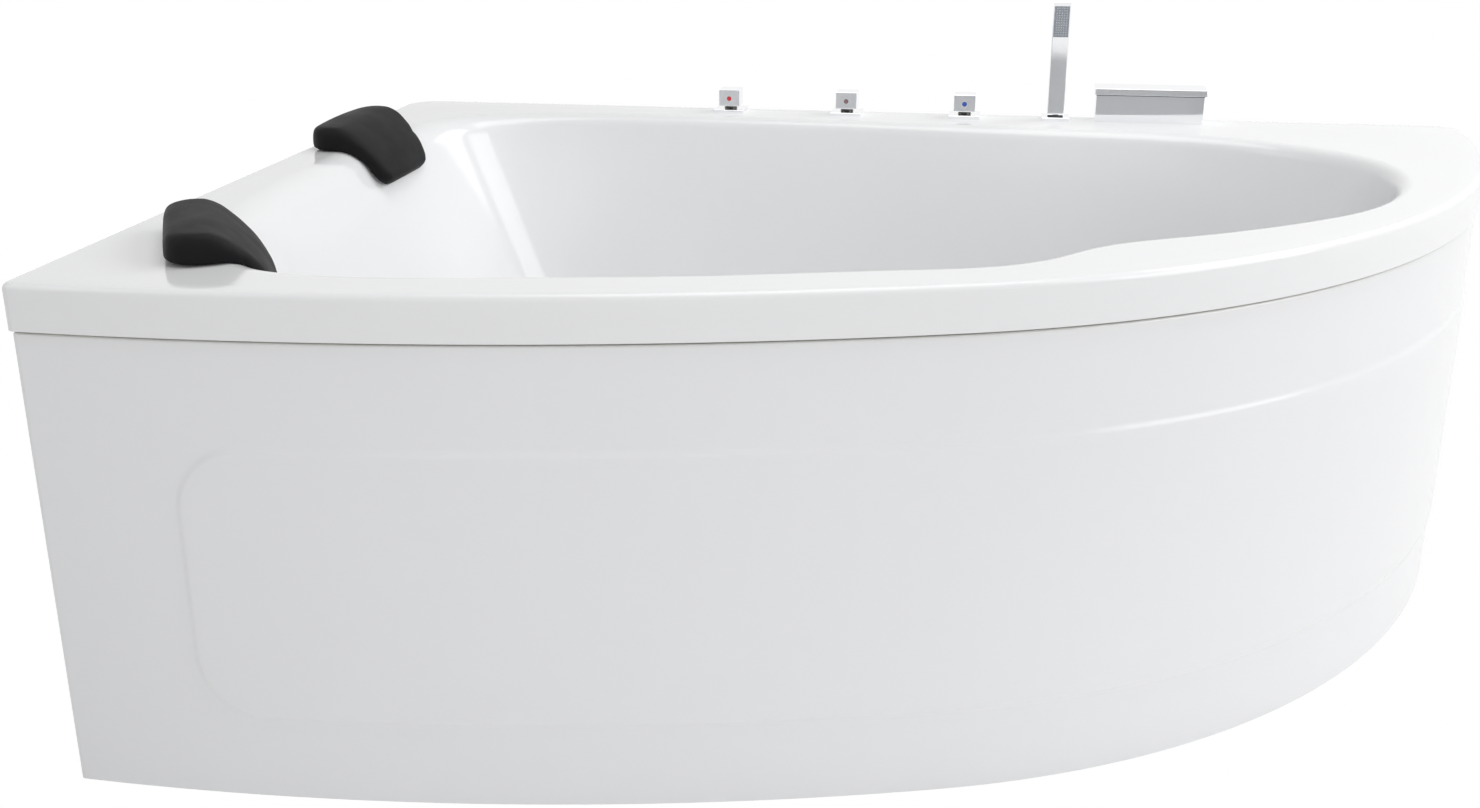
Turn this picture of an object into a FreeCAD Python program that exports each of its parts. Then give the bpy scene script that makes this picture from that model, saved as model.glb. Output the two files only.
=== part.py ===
"""Two-seat corner bathtub: acrylic tub on a steel frame, bowed front panel, deck taps, shower and headrests.

Plan sizes are measured along the back wall from the left end (x) and from the front corner towards
the back wall (y); heights start at the floor. The finished pieces are moved so that the origin lies
on the floor under the middle of the tub, with +X along the back wall and +Y towards it.
"""
import FreeCAD, Part
import math
import os
import Sketcher

Vector = FreeCAD.Vector
UP = Vector(0, 0, 1)

SIZES = {
    # tub outline and rim
    "TubLength": 1700.0,
    "TubDepth": 1200.0,
    "RimHeight": 600.0,
    "LipHeight": 52.0,
    "ShellWall": 6.0,
    "RimRound": 8.0,
    "EndStraight": 43.0,
    "EndBowShare": 0.906,
    "FrontLeftRound": 12.0,
    "BackLeftRound": 50.0,
    "BackRightRound": 40.0,
    # basin
    "FloorHeight": 145.0,
    "LeftDeck": 58.0,
    "FrontDeck": 64.0,
    "GripDeck": 104.0,
    "EndDeck": 152.0,
    "BackDeck": 83.0,
    "BackrestEdgeRound": 45.0,
    "BackrestSlope": 24.0,
    "BackrestFloorRound": 110.0,
    "FootEndEdgeRound": 22.0,
    "FootEndSlope": 13.0,
    "FootEndFloorRound": 120.0,
    "SideEdgeRound": 20.0,
    "SideSlope": 8.0,
    "SideFloorRound": 90.0,
    # front panel
    "PanelInset": 4.0,
    "PanelWall": 4.0,
    "PanelGap": 3.0,
    "PanelFlange": 14.0,
    "PanelReturn": 45.0,
    "FieldProud": 3.0,
    "FieldMargin": 168.0,
    "FieldBottom": 98.0,
    "FieldTop": 430.0,
    "FieldRound": 80.0,
    "FieldEndFromBack": 207.0,
    # base board and steel frame
    "BoardThickness": 18.0,
    "BoardLength": 700.0,
    "BoardWidth": 640.0,
    "BoardFromLeft": 400.0,
    "BoardFromFront": 300.0,
    "BoardRound": 60.0,
    "BoardDrainHole": 96.0,
    "TubeWidth": 30.0,
    "TubeWall": 2.0,
    "PostInset": 40.0,
    "CrossTubeOneAlong": 150.0,
    "CrossTubeTwoAlong": 672.0,
    "CrossTubeThreeAlong": 1060.0,
    "CrossTubeFourAlong": 1450.0,
    "PostOneFromBack": 67.0,
    "PostTwoFromBack": 67.0,
    "PostThreeFromBack": 40.0,
    "PostFourFromBack": 50.0,
    "OutriggerPostFromRight": 50.0,
    "FootFromPost": 40.0,
    "FrontRailFromFront": 500.0,
    "BackRailFromBack": 340.0,
    "CapFlange": 4.0,
    "CapPlug": 12.0,
    "FitClearance": 0.2,
    # levelling feet
    "FootPadDiameter": 50.0,
    "FootPadHeight": 16.0,
    "FootRodDiameter": 10.0,
    "FootRodHole": 11.0,
    "FootNutWidth": 17.0,
    "FootNutHeight": 8.0,
    # screws
    "BoardScrewDiameter": 5.0,
    "BoardScrewBite": 12.0,
    "ScrewHeadHeight": 3.0,
    "ScrewClearance": 0.1,
    "PanelScrewDiameter": 4.8,
    "BracketThickness": 3.0,
    "BracketWidth": 30.0,
    # waste
    "DrainFromLeft": 770.0,
    "DrainFromFront": 370.0,
    "DrainFlangeDiameter": 70.0,
    "DrainFlangeRise": 1.0,
    "DrainRecess": 2.5,
    "DrainThroat": 42.0,
    "DrainThroatWall": 3.0,
    "DrainHoleClearance": 1.0,
    "DrainBodyFlange": 76.0,
    "DrainBodyDiameter": 62.0,
    "DrainBodyHeight": 62.0,
    "DrainBodyWall": 3.0,
    "DrainSealThickness": 3.0,
    "PlugDiameter": 60.0,
    "PlugThickness": 5.0,
    "PlugStem": 8.0,
    "PlugStemLength": 42.0,
    "PlugSealThickness": 1.5,
    "PlugSealInner": 46.0,
    "ThroatLength": 15.0,
    "SpiderThickness": 4.0,
    "StemClearance": 0.05,
    "TrapDiameter": 78.0,
    "TrapHeight": 56.0,
    "TrapBossDiameter": 50.0,
    "TrapBossReach": 54.0,
    "TrapWall": 3.0,
    "WastePipeDiameter": 40.0,
    "WastePipeWall": 2.0,
    "WasteSpigot": 39.4,
    "WastePipeDrop": 32.0,
    "WasteEndFromBack": 12.0,
    # overflow
    "OverflowAlongFront": 740.0,
    "OverflowDepth": 90.0,
    "OverflowCoverDiameter": 64.0,
    "OverflowCoverThickness": 7.0,
    "OverflowHole": 44.0,
    "OverflowBodyDiameter": 62.0,
    "OverflowBodyLength": 30.0,
    "OverflowPipeDiameter": 26.0,
    "OverflowPipeWall": 2.0,
    "OverflowPipeBend": 45.0,
    "OverflowGasket": 2.5,
    "OverflowSleeve": 42.0,
    "OverflowBossDiameter": 34.0,
    "OverflowBossReach": 42.0,
    "OverflowInletDrop": 36.0,
    "PipeSeat": 8.0,
    # tap line on the back deck
    "TapLineFromBack": 35.0,
    "HotFromLeft": 568.0,
    "DiverterFromLeft": 761.0,
    "ColdFromLeft": 951.0,
    "ShowerFromLeft": 1094.0,
    "SpoutFromLeft": 1237.0,
    "DeckHole": 24.0,
    "PlateWidth": 50.0,
    "PlateThickness": 6.0,
    "PlateEdge": 1.0,
    "KnobWidth": 34.0,
    "KnobHeight": 27.0,
    "KnobEdge": 0.8,
    "KnobGap": 5.0,
    "KnobNeck": 20.0,
    "KnobRunningGap": 0.3,
    "MarkerDiameter": 7.5,
    "MarkerDepth": 1.0,
    "MarkerDrop": 1.0,
    "SpindleDiameter": 8.0,
    "SpindleLength": 74.0,
    "SpindleInKnob": 20.0,
    "SpindleClearance": 0.05,
    "ValveNeck": 22.0,
    "ValveNeckTop": 4.0,
    "ValveDiameter": 40.0,
    "ValveTop": 22.0,
    "ValveLength": 76.0,
    "ValveTail": 20.96,
    "ValveTailLength": 16.0,
    "ValveBore": 12.0,
    "ValveBoreDepth": 40.0,
    "NutDiameter": 34.0,
    "NutHeight": 8.0,
    "ThreadClearance": 0.1,
    "PipeWall": 1.0,
    "FeedPipeDepth": 50.0,
    "PipeDiameter": 12.0,
    "PipeSocket": 2.0,
    "PipeBend": 16.0,
    "OutletPipeForward": 38.0,
    "ShowerPipeDepth": 90.0,
    "SpoutPipeDepth": 70.0,
    "HoseOutletFromLeft": 965.0,
    "HoseOutletDrop": 24.0,
    "HoseOutletDiameter": 24.0,
    "HoseOutletLength": 10.0,
    "HoseThread": 20.96,
    "HoseThreadLength": 12.0,
    # hand shower
    "HolderWidth": 43.0,
    "HolderThickness": 6.0,
    "HolderRing": 2.5,
    "HolderRingWidth": 24.0,
    "SleeveDiameter": 22.0,
    "SleeveBore": 15.0,
    "SleeveLength": 62.0,
    "HandsetWidth": 26.0,
    "HandsetDepth": 22.0,
    "HandsetTop": 785.0,
    "HandsetEdge": 1.2,
    "ConnectorDiameter": 14.0,
    "ConnectorLength": 34.0,
    "ConnectorBore": 8.0,
    "SprayWidth": 23.0,
    "SprayHeight": 47.0,
    "SprayFromTop": 7.0,
    "SprayDepth": 3.0,
    "SprayClearance": 0.15,
    "HandsetSeatGap": 0.2,
    # spout
    "SpoutWidth": 164.0,
    "SpoutDepth": 42.0,
    "SpoutHeight": 44.0,
    "SpoutWall": 4.0,
    "SpoutSlot": 2.0,
    "SpoutEdge": 0.8,
    "SpoutShank": 22.0,
    "SpoutShankBore": 10.0,
    "SpoutFromBack": 8.0,
    "SpoutShankLength": 50.0,
    "CoverWidth": 169.0,
    "CoverDepth": 54.0,
    "CoverThickness": 10.0,
    "CoverFromBack": 4.0,
    # headrests
    "HeadrestWidth": 208.0,
    "HeadrestRise": 37.0,
    "HeadrestOnDeck": 48.0,
    "HeadrestInBasin": 68.0,
    "HeadrestDrop": 54.0,
    "HeadrestEndRound": 8.0,
    "HeadrestCorner": 22.0,
    "HeadrestCrown": 2.5,
    "HeadrestSeatGap": 0.3,
    "BackHeadrestFromLeft": 62.0,
    "BackHeadrestFromBack": 373.0,
    "FrontHeadrestFromLeft": 138.0,
    "FrontHeadrestFromFront": 195.0,
    "FrontHeadrestTurn": 29.0,
    "StudDiameter": 6.0,
    "StudSpacing": 120.0,
    "StudInset": 24.0,
    "StudLength": 10.0,
    "StudClearance": 0.2,
}

doc = FreeCAD.newDocument("CornerBathtub")
sheet = doc.addObject("Spreadsheet::Sheet", "Sizes")
for row, (alias, value) in enumerate(SIZES.items(), start=1):
    sheet.set(f"A{row}", alias)
    sheet.set(f"B{row}", str(value))
    sheet.setAlias(f"B{row}", alias)
doc.recompute()

pieces = []


def size(alias):
    """A driving dimension, read back from the sheet."""
    return float(sheet.get(alias))


def keep(piece, label):
    """Give a finished piece its name and list it for writing."""
    piece.Label = label
    pieces.append(piece)
    return piece


def plan_feature(label, shape):
    """A piece drawn in plan measures, moved so that the origin is under the middle of the tub."""
    feature = doc.addObject("Part::Feature", label)
    feature.Shape = shape
    feature.Placement = FreeCAD.Placement()
    feature.setExpression("Placement.Base.x", "-Sizes.TubLength / 2")
    feature.setExpression("Placement.Base.y", "-Sizes.TubDepth / 2")
    return keep(feature, label)


def block(width, depth, height, centre_x, centre_y, bottom):
    corner = Vector(centre_x - width / 2, centre_y - depth / 2, bottom)
    return Part.makeBox(width, depth, height, corner)


def rod(diameter, height, x, y, bottom):
    return Part.makeCylinder(diameter / 2, height, Vector(x, y, bottom))


def ring(outer, inner, height, x, y, bottom):
    return rod(outer, height, x, y, bottom).cut(rod(inner, height, x, y, bottom))


def turned(profile, x, y):
    """A solid of revolution about the vertical line through x, y, from its radius and height pairs."""
    points = [Vector(radius, 0, height) for radius, height in profile]
    face = Part.Face(Part.makePolygon(points + points[:1]))
    solid = face.revolve(Vector(), UP, 360)
    solid.translate(Vector(x, y, 0))
    return solid


def upright_edges(solid, x, y, reach):
    """The upright edges of a solid within reach of a corner of its plan."""
    found = []
    for edge in solid.Edges:
        ends = [vertex.Point for vertex in edge.Vertexes]
        if len(ends) != 2 or abs(ends[0].z - ends[1].z) < 1:
            continue
        if max(math.hypot(end.x - x, end.y - y) for end in ends) < reach:
            found.append(edge)
    return found


# ---------------------------------------------------------------- plan of the tub
length = size("TubLength")
depth = size("TubDepth")
rim_top = size("RimHeight")
wall = size("ShellWall")
lip_bottom = rim_top - size("LipHeight")
deck_under = rim_top - wall
floor_inside = size("FloorHeight")
floor_under = floor_inside - wall
board_under = floor_under - size("BoardThickness")
frame_under = board_under - size("TubeWidth")

# The front is a long flat bow that runs into a tighter one, and ends square to the back wall.
bow_reach = depth - size("EndStraight")
end_bow = size("EndBowShare") * bow_reach
bow = ((length - end_bow) ** 2 + bow_reach**2 - end_bow**2) / (2 * (bow_reach - end_bow))
bow_turn = math.asin((length - end_bow) / (bow - end_bow))
bow_centre = Vector(0, bow, 0)
end_centre = Vector(length - end_bow, bow_reach, 0)
bow_length = bow * bow_turn
front_length = bow_length + end_bow * (math.pi / 2 - bow_turn)


def front_heading(along):
    """Direction of the front edge, in radians from the back wall's, at a distance along it."""
    if along < bow_length:
        return along / bow
    return bow_turn + (along - bow_length) / end_bow


def front_point(along, inset):
    """Plan point at a distance along the front edge and at an inset from it."""
    heading = front_heading(along)
    centre, radius = (bow_centre, bow) if along < bow_length else (end_centre, end_bow)
    radius -= inset
    return Vector(centre.x + radius * math.sin(heading), centre.y - radius * math.cos(heading), 0)


def tub_block(inset, bottom, top):
    """The tub's plan, drawn in by an inset all round, as a solid between two heights."""
    left_front = Vector(inset, bow - math.sqrt((bow - inset) ** 2 - inset**2), 0)
    joint = front_point(bow_length, inset)
    right = Vector(length - inset, end_centre.y, 0)
    back_right = Vector(length - inset, depth - inset, 0)
    back_left = Vector(inset, depth - inset, 0)
    edges = [
        Part.Arc(left_front, front_point(bow_length / 2, inset), joint).toShape(),
        Part.Arc(joint, front_point((bow_length + front_length) / 2, inset), right).toShape(),
        Part.makeLine(right, back_right),
        Part.makeLine(back_right, back_left),
        Part.makeLine(back_left, left_front),
    ]
    face = Part.Face(Part.Wire(edges))
    face.translate(Vector(0, 0, bottom))
    solid = face.extrude(Vector(0, 0, top - bottom))
    rounds = (
        (left_front, size("FrontLeftRound")),
        (back_left, size("BackLeftRound")),
        (back_right, size("BackRightRound")),
    )
    for corner, radius in rounds:
        if radius - inset > 1:
            solid = solid.makeFillet(radius - inset, upright_edges(solid, corner.x, corner.y, 2))
    return solid


# ---------------------------------------------------------------- basin form
def edge_by_front(share, deck):
    """Point of the basin's edge behind a share of the front edge, at a deck width from it."""
    return front_point(share * front_length, deck)


def edge_by_back(share, deck):
    """Point of the basin's edge at a share of the tub's length, at a deck width from the back."""
    return Vector(share * length, depth - deck, 0)


def edge_by_end(deck, share):
    """Point of the basin's edge at a deck width from the right end, at a share of the tub's depth."""
    return Vector(length - deck, share * depth, 0)


def edge_by_left(deck, share):
    return Vector(deck, share * depth, 0)


# The opening's edge, point by point: along the front, round the foot end, back along the wall and
# round the backrest. The front deck steps out to a wider grip just past the bow's middle.
left_deck = size("LeftDeck")
front_deck = size("FrontDeck")
grip_deck = size("GripDeck")
end_deck = size("EndDeck")
back_deck = size("BackDeck")
overflow_edge = front_point(size("OverflowAlongFront"), front_deck)
basin_edge = [
    edge_by_left(left_deck, 0.533),
    edge_by_left(left_deck + 5, 0.392),
    edge_by_left(left_deck + 28, 0.271),
    Vector(size("FrontHeadrestFromLeft"), size("FrontHeadrestFromFront"), 0),
    edge_by_front(0.093, front_deck + 36),
    edge_by_front(0.1385, front_deck + 2),
    edge_by_front(0.225, front_deck),
    overflow_edge,
    edge_by_front(0.411, front_deck),
    edge_by_front(0.4805, front_deck + 3),
    edge_by_front(0.504, (front_deck + grip_deck) / 2),
    edge_by_front(0.530, grip_deck),
    edge_by_front(0.593, grip_deck - 5),
    edge_by_front(0.659, grip_deck - 28),
    edge_by_front(0.722, grip_deck - 48),
    edge_by_front(0.785, grip_deck - 42),
    edge_by_end(end_deck, 0.675),
    edge_by_end(end_deck + 20, 0.758),
    edge_by_back(0.847, back_deck + 114),
    edge_by_back(0.769, back_deck + 57),
    edge_by_back(0.6205, back_deck + 31),
    edge_by_back(0.4705, back_deck + 11),
    edge_by_back(0.3235, back_deck),
    edge_by_back(0.209, back_deck + 1),
    edge_by_back(0.134, back_deck + 19),
    edge_by_back(0.082, back_deck + 59),
    edge_by_left(left_deck + 28, 0.812),
    edge_by_left(left_deck + 5, 0.699),
]
edge_left = min(point.x for point in basin_edge)
edge_right = max(point.x for point in basin_edge)
edge_front = min(point.y for point in basin_edge)
edge_back = max(point.y for point in basin_edge)
basin_depth = rim_top - floor_inside


def wall_run(down, edge_round, slope, floor_round):
    """How far a basin wall has come in from the deck's edge at a depth below the deck.

    The wall rolls off the deck, falls at its slope from the upright, and rolls into the floor.
    """
    lean = math.radians(slope)
    roll_end = edge_round * (1 - math.sin(lean))
    if down <= roll_end:
        return math.sqrt(max(0, edge_round**2 - (edge_round - down) ** 2))
    run = edge_round * math.cos(lean)
    floor_start = basin_depth - floor_round * (1 - math.sin(lean))
    if down <= floor_start:
        return run + (down - roll_end) * math.tan(lean)
    run += (floor_start - roll_end) * math.tan(lean)
    rise = down - (basin_depth - floor_round)
    return run + floor_round * math.cos(lean) - math.sqrt(max(0, floor_round**2 - rise**2))


WALLS = {
    "backrest": ("BackrestEdgeRound", "BackrestSlope", "BackrestFloorRound"),
    "foot": ("FootEndEdgeRound", "FootEndSlope", "FootEndFloorRound"),
    "side": ("SideEdgeRound", "SideSlope", "SideFloorRound"),
}


def squeezed(point, down, grow):
    """A point of the basin's edge carried down the walls to a depth, and out by a growth."""
    runs = {name: wall_run(down, *map(size, values)) - grow for name, values in WALLS.items()}
    left = edge_left + runs["backrest"]
    right = edge_right - runs["foot"]
    front = edge_front + runs["side"]
    back = edge_back - runs["side"]
    share_x = (point.x - edge_left) / (edge_right - edge_left)
    share_y = (point.y - edge_front) / (edge_back - edge_front)
    return Vector(left + share_x * (right - left), front + share_y * (back - front), 0)


def basin_levels(steps):
    """Depths of the basin's sections, each with the side wall's pitch from the level there.

    The wall rolls off the deck and into the floor in a number of steps.
    """
    edge_round = size("SideEdgeRound")
    floor_round = size("SideFloorRound")
    steepest = 90 - size("SideSlope")
    rolls = [steepest * step / steps for step in range(steps + 1)]
    levels = [(edge_round * (1 - math.cos(math.radians(pitch))), pitch) for pitch in rolls]
    back_round = size("BackrestEdgeRound")
    levels += [(back_round * 0.6, steepest), (back_round, steepest)]
    floor_start = basin_depth - size("FootEndFloorRound")
    levels += [(back_round + (floor_start - back_round) * step / 3, steepest) for step in (1, 2, 3)]
    floor_rolls = [steepest * step / (steps + 1) for step in range(steps, -1, -1)]
    floor_top = basin_depth - floor_round
    levels += [(floor_top + floor_round * math.cos(math.radians(pitch)), pitch) for pitch in floor_rolls]
    return levels


def basin_block(grow, collar, steps=4):
    """The basin's space as a solid, grown square to its walls, with a straight collar on top."""
    wires = []
    for down, pitch in basin_levels(steps):
        drop = grow * math.cos(math.radians(pitch))
        spread = grow * math.sin(math.radians(pitch))
        points = [squeezed(point, down, spread) for point in basin_edge]
        curve = Part.BSplineCurve()
        curve.interpolate(Points=points, PeriodicFlag=True)
        wire = Part.Wire([curve.toShape()])
        wire.translate(Vector(0, 0, rim_top - down - drop))
        wires.append(wire)
    top = wires[0].copy()
    top.translate(Vector(0, 0, collar))
    return Part.makeLoft([top] + wires, True, True)


# ---------------------------------------------------------------- tub shell
tap_y = depth - size("TapLineFromBack")
tap_line = {
    "hot": size("HotFromLeft"),
    "diverter": size("DiverterFromLeft"),
    "cold": size("ColdFromLeft"),
    "shower": size("ShowerFromLeft"),
    "spout": size("SpoutFromLeft"),
}
drain = Vector(size("DrainFromLeft"), size("DrainFromFront"), 0)

headrest_spots = {
    "front": (
        Vector(size("FrontHeadrestFromLeft"), size("FrontHeadrestFromFront"), 0),
        size("FrontHeadrestTurn"),
    ),
    "back": (Vector(size("BackHeadrestFromLeft"), depth - size("BackHeadrestFromBack"), 0), 0.0),
}


def headrest_place(name):
    """Frame of a headrest: its origin on the basin's edge, x into the basin, y along the edge."""
    spot, turn = headrest_spots[name]
    spot = Vector(spot.x, spot.y, rim_top)
    return FreeCAD.Placement(spot, FreeCAD.Rotation(UP, turn))


def stud_rods(name, diameter, top, bottom):
    """The two locating studs of a headrest, as rods between two heights about the deck."""
    rods = []
    for side in (-1, 1):
        stud = rod(diameter, top - bottom, -size("StudInset"), side * size("StudSpacing") / 2, bottom)
        stud.Placement = headrest_place(name).multiply(stud.Placement)
        rods.append(stud)
    return rods


# Frame of the overflow: its origin on the basin's front wall, z square to the wall and inwards.
overflow_down = size("OverflowDepth")
wall_spot = squeezed(overflow_edge, overflow_down, 0)
lower_spot = squeezed(overflow_edge, overflow_down + 1, 0)
wall_spot.z = rim_top - overflow_down
lower_spot.z = wall_spot.z - 1
wall_along = Vector(math.cos(front_heading(size("OverflowAlongFront"))), 0, 0)
wall_along.y = math.sin(front_heading(size("OverflowAlongFront")))
wall_normal = wall_along.cross(lower_spot.sub(wall_spot)).normalize()
overflow_place = FreeCAD.Placement(wall_spot, FreeCAD.Rotation(UP, wall_normal))


def on_overflow(solid):
    solid.Placement = overflow_place.multiply(solid.Placement)
    return solid


def make_tub_shell():
    """Thin acrylic shell: deck with a turned-down lip, and the basin hung from it."""
    shell = tub_block(0, lip_bottom, rim_top)
    top_edges = [edge for edge in shell.Edges if min(v.Z for v in edge.Vertexes) > rim_top - 0.01]
    shell = shell.makeFillet(size("RimRound"), top_edges)
    shell = shell.cut(tub_block(wall, lip_bottom - 1, deck_under))
    shell = shell.fuse(basin_block(wall, wall / 2, 2))
    shell = shell.cut(basin_block(0, 1))
    holes = [rod(size("DeckHole"), 3 * wall, x, tap_y, deck_under - wall) for x in tap_line.values()]
    drain_hole = size("DrainThroat") + 2 * (size("DrainThroatWall") + size("DrainHoleClearance"))
    holes.append(rod(drain_hole, 3 * wall, drain.x, drain.y, floor_under - wall))
    recess = size("DrainFlangeDiameter") + size("DrainHoleClearance")
    holes.append(rod(recess, wall, drain.x, drain.y, floor_inside - size("DrainRecess")))
    holes.append(on_overflow(rod(size("OverflowHole"), 6 * wall, 0, 0, -3 * wall)))
    for name in headrest_spots:
        stud_hole = size("StudDiameter") + 2 * size("StudClearance")
        holes += stud_rods(name, stud_hole, wall, -2 * wall)
    for hole in holes:
        shell = shell.cut(hole)
    return shell


tub_shell = make_tub_shell()
plan_feature("tub_shell", tub_shell)


# ---------------------------------------------------------------- base board
def make_base_board():
    """Board laminated under the basin floor, with a hole for the waste and pilot holes."""
    board = Part.makeBox(
        size("BoardLength"),
        size("BoardWidth"),
        size("BoardThickness"),
        Vector(size("BoardFromLeft"), size("BoardFromFront"), board_under),
    )
    corners = [edge for edge in board.Edges if abs(edge.Vertexes[0].Z - edge.Vertexes[1].Z) > 1]
    board = board.makeFillet(size("BoardRound"), corners)
    board = board.cut(rod(size("BoardDrainHole"), rim_top, drain.x, drain.y, 0))
    for x, y in board_screw_spots:
        pilot = size("BoardScrewDiameter") + 2 * size("ScrewClearance")
        board = board.cut(rod(pilot, size("BoardScrewBite"), x, y, board_under))
    return board


# ---------------------------------------------------------------- steel frame
tube = size("TubeWidth")
post_inset = size("PostInset")
cross_tubes = []
for number in ("One", "Two", "Three", "Four"):
    front_post = front_point(size(f"CrossTube{number}Along"), post_inset)
    back_post = Vector(front_post.x, depth - size(f"Post{number}FromBack"), 0)
    cross_tubes.append((front_post, back_post))
outrigger = Vector(length - size("OutriggerPostFromRight"), cross_tubes[-1][1].y, 0)
posts = [post for pair in cross_tubes for post in pair] + [outrigger]
rail_lines = [size("FrontRailFromFront"), depth - size("BackRailFromBack")]
rail_ends = (cross_tubes[0][0].x, cross_tubes[-1][0].x)
post_top = deck_under - size("CapFlange")

foot_spots = [outrigger]
for front_post, back_post in cross_tubes:
    foot_spots.append(front_post + Vector(0, size("FootFromPost"), 0))
    foot_spots.append(back_post - Vector(0, size("FootFromPost"), 0))

board_left = size("BoardFromLeft")
board_right = board_left + size("BoardLength")
board_screw_spots = []
for line in rail_lines:
    for (here, _), (there, _) in zip(cross_tubes, cross_tubes[1:]):
        low = max(here.x, board_left) + tube
        high = min(there.x, board_right) - tube
        board_screw_spots.append(((low + high) / 2, line))

plan_feature("base_board", make_base_board())


def make_support_frame():
    """Square steel tubes welded end to side: cross tubes, long rails, an outrigger and posts."""
    bore = tube - 2 * size("TubeWall")
    middle = frame_under + tube / 2
    tubes = []

    def lay(start, end, along_x):
        mid_x, mid_y = (start.x + end.x) / 2, (start.y + end.y) / 2
        run = end.sub(start).Length
        plans = [(run, width) if along_x else (width, run) for width in (tube, bore)]
        outer = block(*plans[0], tube, mid_x, mid_y, middle - tube / 2)
        tubes.append(outer.cut(block(*plans[1], bore, mid_x, mid_y, middle - bore / 2)))

    for front_post, back_post in cross_tubes:
        over = Vector(0, tube / 2, 0)
        lay(front_post - over, back_post + over, False)
    for line in rail_lines:
        for (here, _), (there, _) in zip(cross_tubes, cross_tubes[1:]):
            lay(Vector(here.x + tube / 2, line, 0), Vector(there.x - tube / 2, line, 0), True)
    last = cross_tubes[-1][1]
    lay(Vector(last.x + tube / 2, last.y, 0), Vector(outrigger.x + tube / 2, last.y, 0), True)
    for post in posts:
        outer = block(tube, tube, post_top - board_under, post.x, post.y, board_under)
        tubes.append(outer.cut(block(bore, bore, rim_top, post.x, post.y, 0)))
    pilot = size("BoardScrewDiameter") + 2 * size("ScrewClearance")
    holes = [rod(size("FootRodHole"), tube / 2, spot.x, spot.y, frame_under - 1) for spot in foot_spots]
    holes += [rod(pilot, tube + 2, x, y, frame_under - 1) for x, y in board_screw_spots]
    return Part.makeCompound([part.cut(holes) for part in tubes])


plan_feature("support_frame", make_support_frame())


def make_post_caps():
    """Plastic caps that plug the posts and carry the deck."""
    plug = tube - 2 * size("TubeWall") - 2 * size("FitClearance")
    caps = []
    for post in posts:
        cap = block(tube, tube, size("CapFlange"), post.x, post.y, post_top)
        cap = cap.fuse(block(plug, plug, size("CapPlug"), post.x, post.y, post_top - size("CapPlug")))
        caps.append(cap.removeSplitter())
    return Part.makeCompound(caps)


plan_feature("post_caps", make_post_caps())


def make_board_screws():
    """Wood screws up through the long rails into the board."""
    screws = []
    for x, y in board_screw_spots:
        shank = tube + size("BoardScrewBite")
        screw = rod(size("BoardScrewDiameter"), shank, x, y, frame_under)
        head = 2 * size("BoardScrewDiameter")
        screw = screw.fuse(rod(head, size("ScrewHeadHeight"), x, y, frame_under - size("ScrewHeadHeight")))
        screws.append(screw.removeSplitter())
    return Part.makeCompound(screws)


plan_feature("board_screws", make_board_screws())


# ---------------------------------------------------------------- levelling feet
def make_foot_pads():
    """Moulded foot pads with a socket for the threaded rod."""
    wide = size("FootPadDiameter") / 2
    socket = size("FootRodDiameter") / 2 + size("ThreadClearance")
    high = size("FootPadHeight")
    profile = [(0, 0), (wide, 0), (wide, high * 0.3), (socket + 6, high * 0.8), (socket + 4, high)]
    profile += [(socket, high), (socket, high * 0.4), (0, high * 0.4)]
    return Part.makeCompound([turned(profile, spot.x, spot.y) for spot in foot_spots])


def make_foot_rods():
    """Threaded rods from the pads into the frame tubes."""
    bottom = size("FootPadHeight") * 0.4
    top = board_under - 2 * size("TubeWall")
    rods = [rod(size("FootRodDiameter"), top - bottom, spot.x, spot.y, bottom) for spot in foot_spots]
    return Part.makeCompound(rods)


def make_foot_nuts():
    """Hexagon nuts on the rods, on which the frame stands."""
    nuts = []
    for spot in foot_spots:
        corner = size("FootNutWidth") / 2 / math.cos(math.pi / 6)
        points = []
        for turn in range(7):
            angle = turn * math.pi / 3
            points.append(Vector(spot.x + corner * math.cos(angle), spot.y + corner * math.sin(angle), 0))
        hexagon = Part.Face(Part.makePolygon(points)).extrude(Vector(0, 0, size("FootNutHeight")))
        hexagon.translate(Vector(0, 0, frame_under - size("FootNutHeight")))
        bore = size("FootRodDiameter") + 2 * size("ThreadClearance")
        nuts.append(hexagon.cut(rod(bore, tube, spot.x, spot.y, frame_under - 20)))
    return Part.makeCompound(nuts)


plan_feature("foot_pads", make_foot_pads())
plan_feature("foot_rods", make_foot_rods())
plan_feature("foot_nuts", make_foot_nuts())


# ---------------------------------------------------------------- bowed front panel
panel_inset = size("PanelInset")
panel_inner = panel_inset + size("PanelWall")
panel_top = lip_bottom - size("PanelGap")


def rounded_plate(start, end, bottom, top, round_start):
    """Outline in the XZ plane with rounded corners at its start, or at its end, as a face."""
    radius = size("FieldRound")
    side, reach = (start, radius) if round_start else (end, -radius)
    far = end if round_start else start
    slack = radius * (1 - math.sqrt(0.5))
    sign = 1 if round_start else -1
    edges = [
        Part.makeLine(Vector(side, 0, bottom + radius), Vector(side, 0, top - radius)),
        Part.Arc(
            Vector(side, 0, top - radius),
            Vector(side + sign * slack, 0, top - slack),
            Vector(side + reach, 0, top),
        ).toShape(),
        Part.makeLine(Vector(side + reach, 0, top), Vector(far, 0, top)),
        Part.makeLine(Vector(far, 0, top), Vector(far, 0, bottom)),
        Part.makeLine(Vector(far, 0, bottom), Vector(side + reach, 0, bottom)),
        Part.Arc(
            Vector(side + reach, 0, bottom),
            Vector(side + sign * slack, 0, bottom + slack),
            Vector(side, 0, bottom + radius),
        ).toShape(),
    ]
    return Part.Face(Part.Wire(edges))


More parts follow.
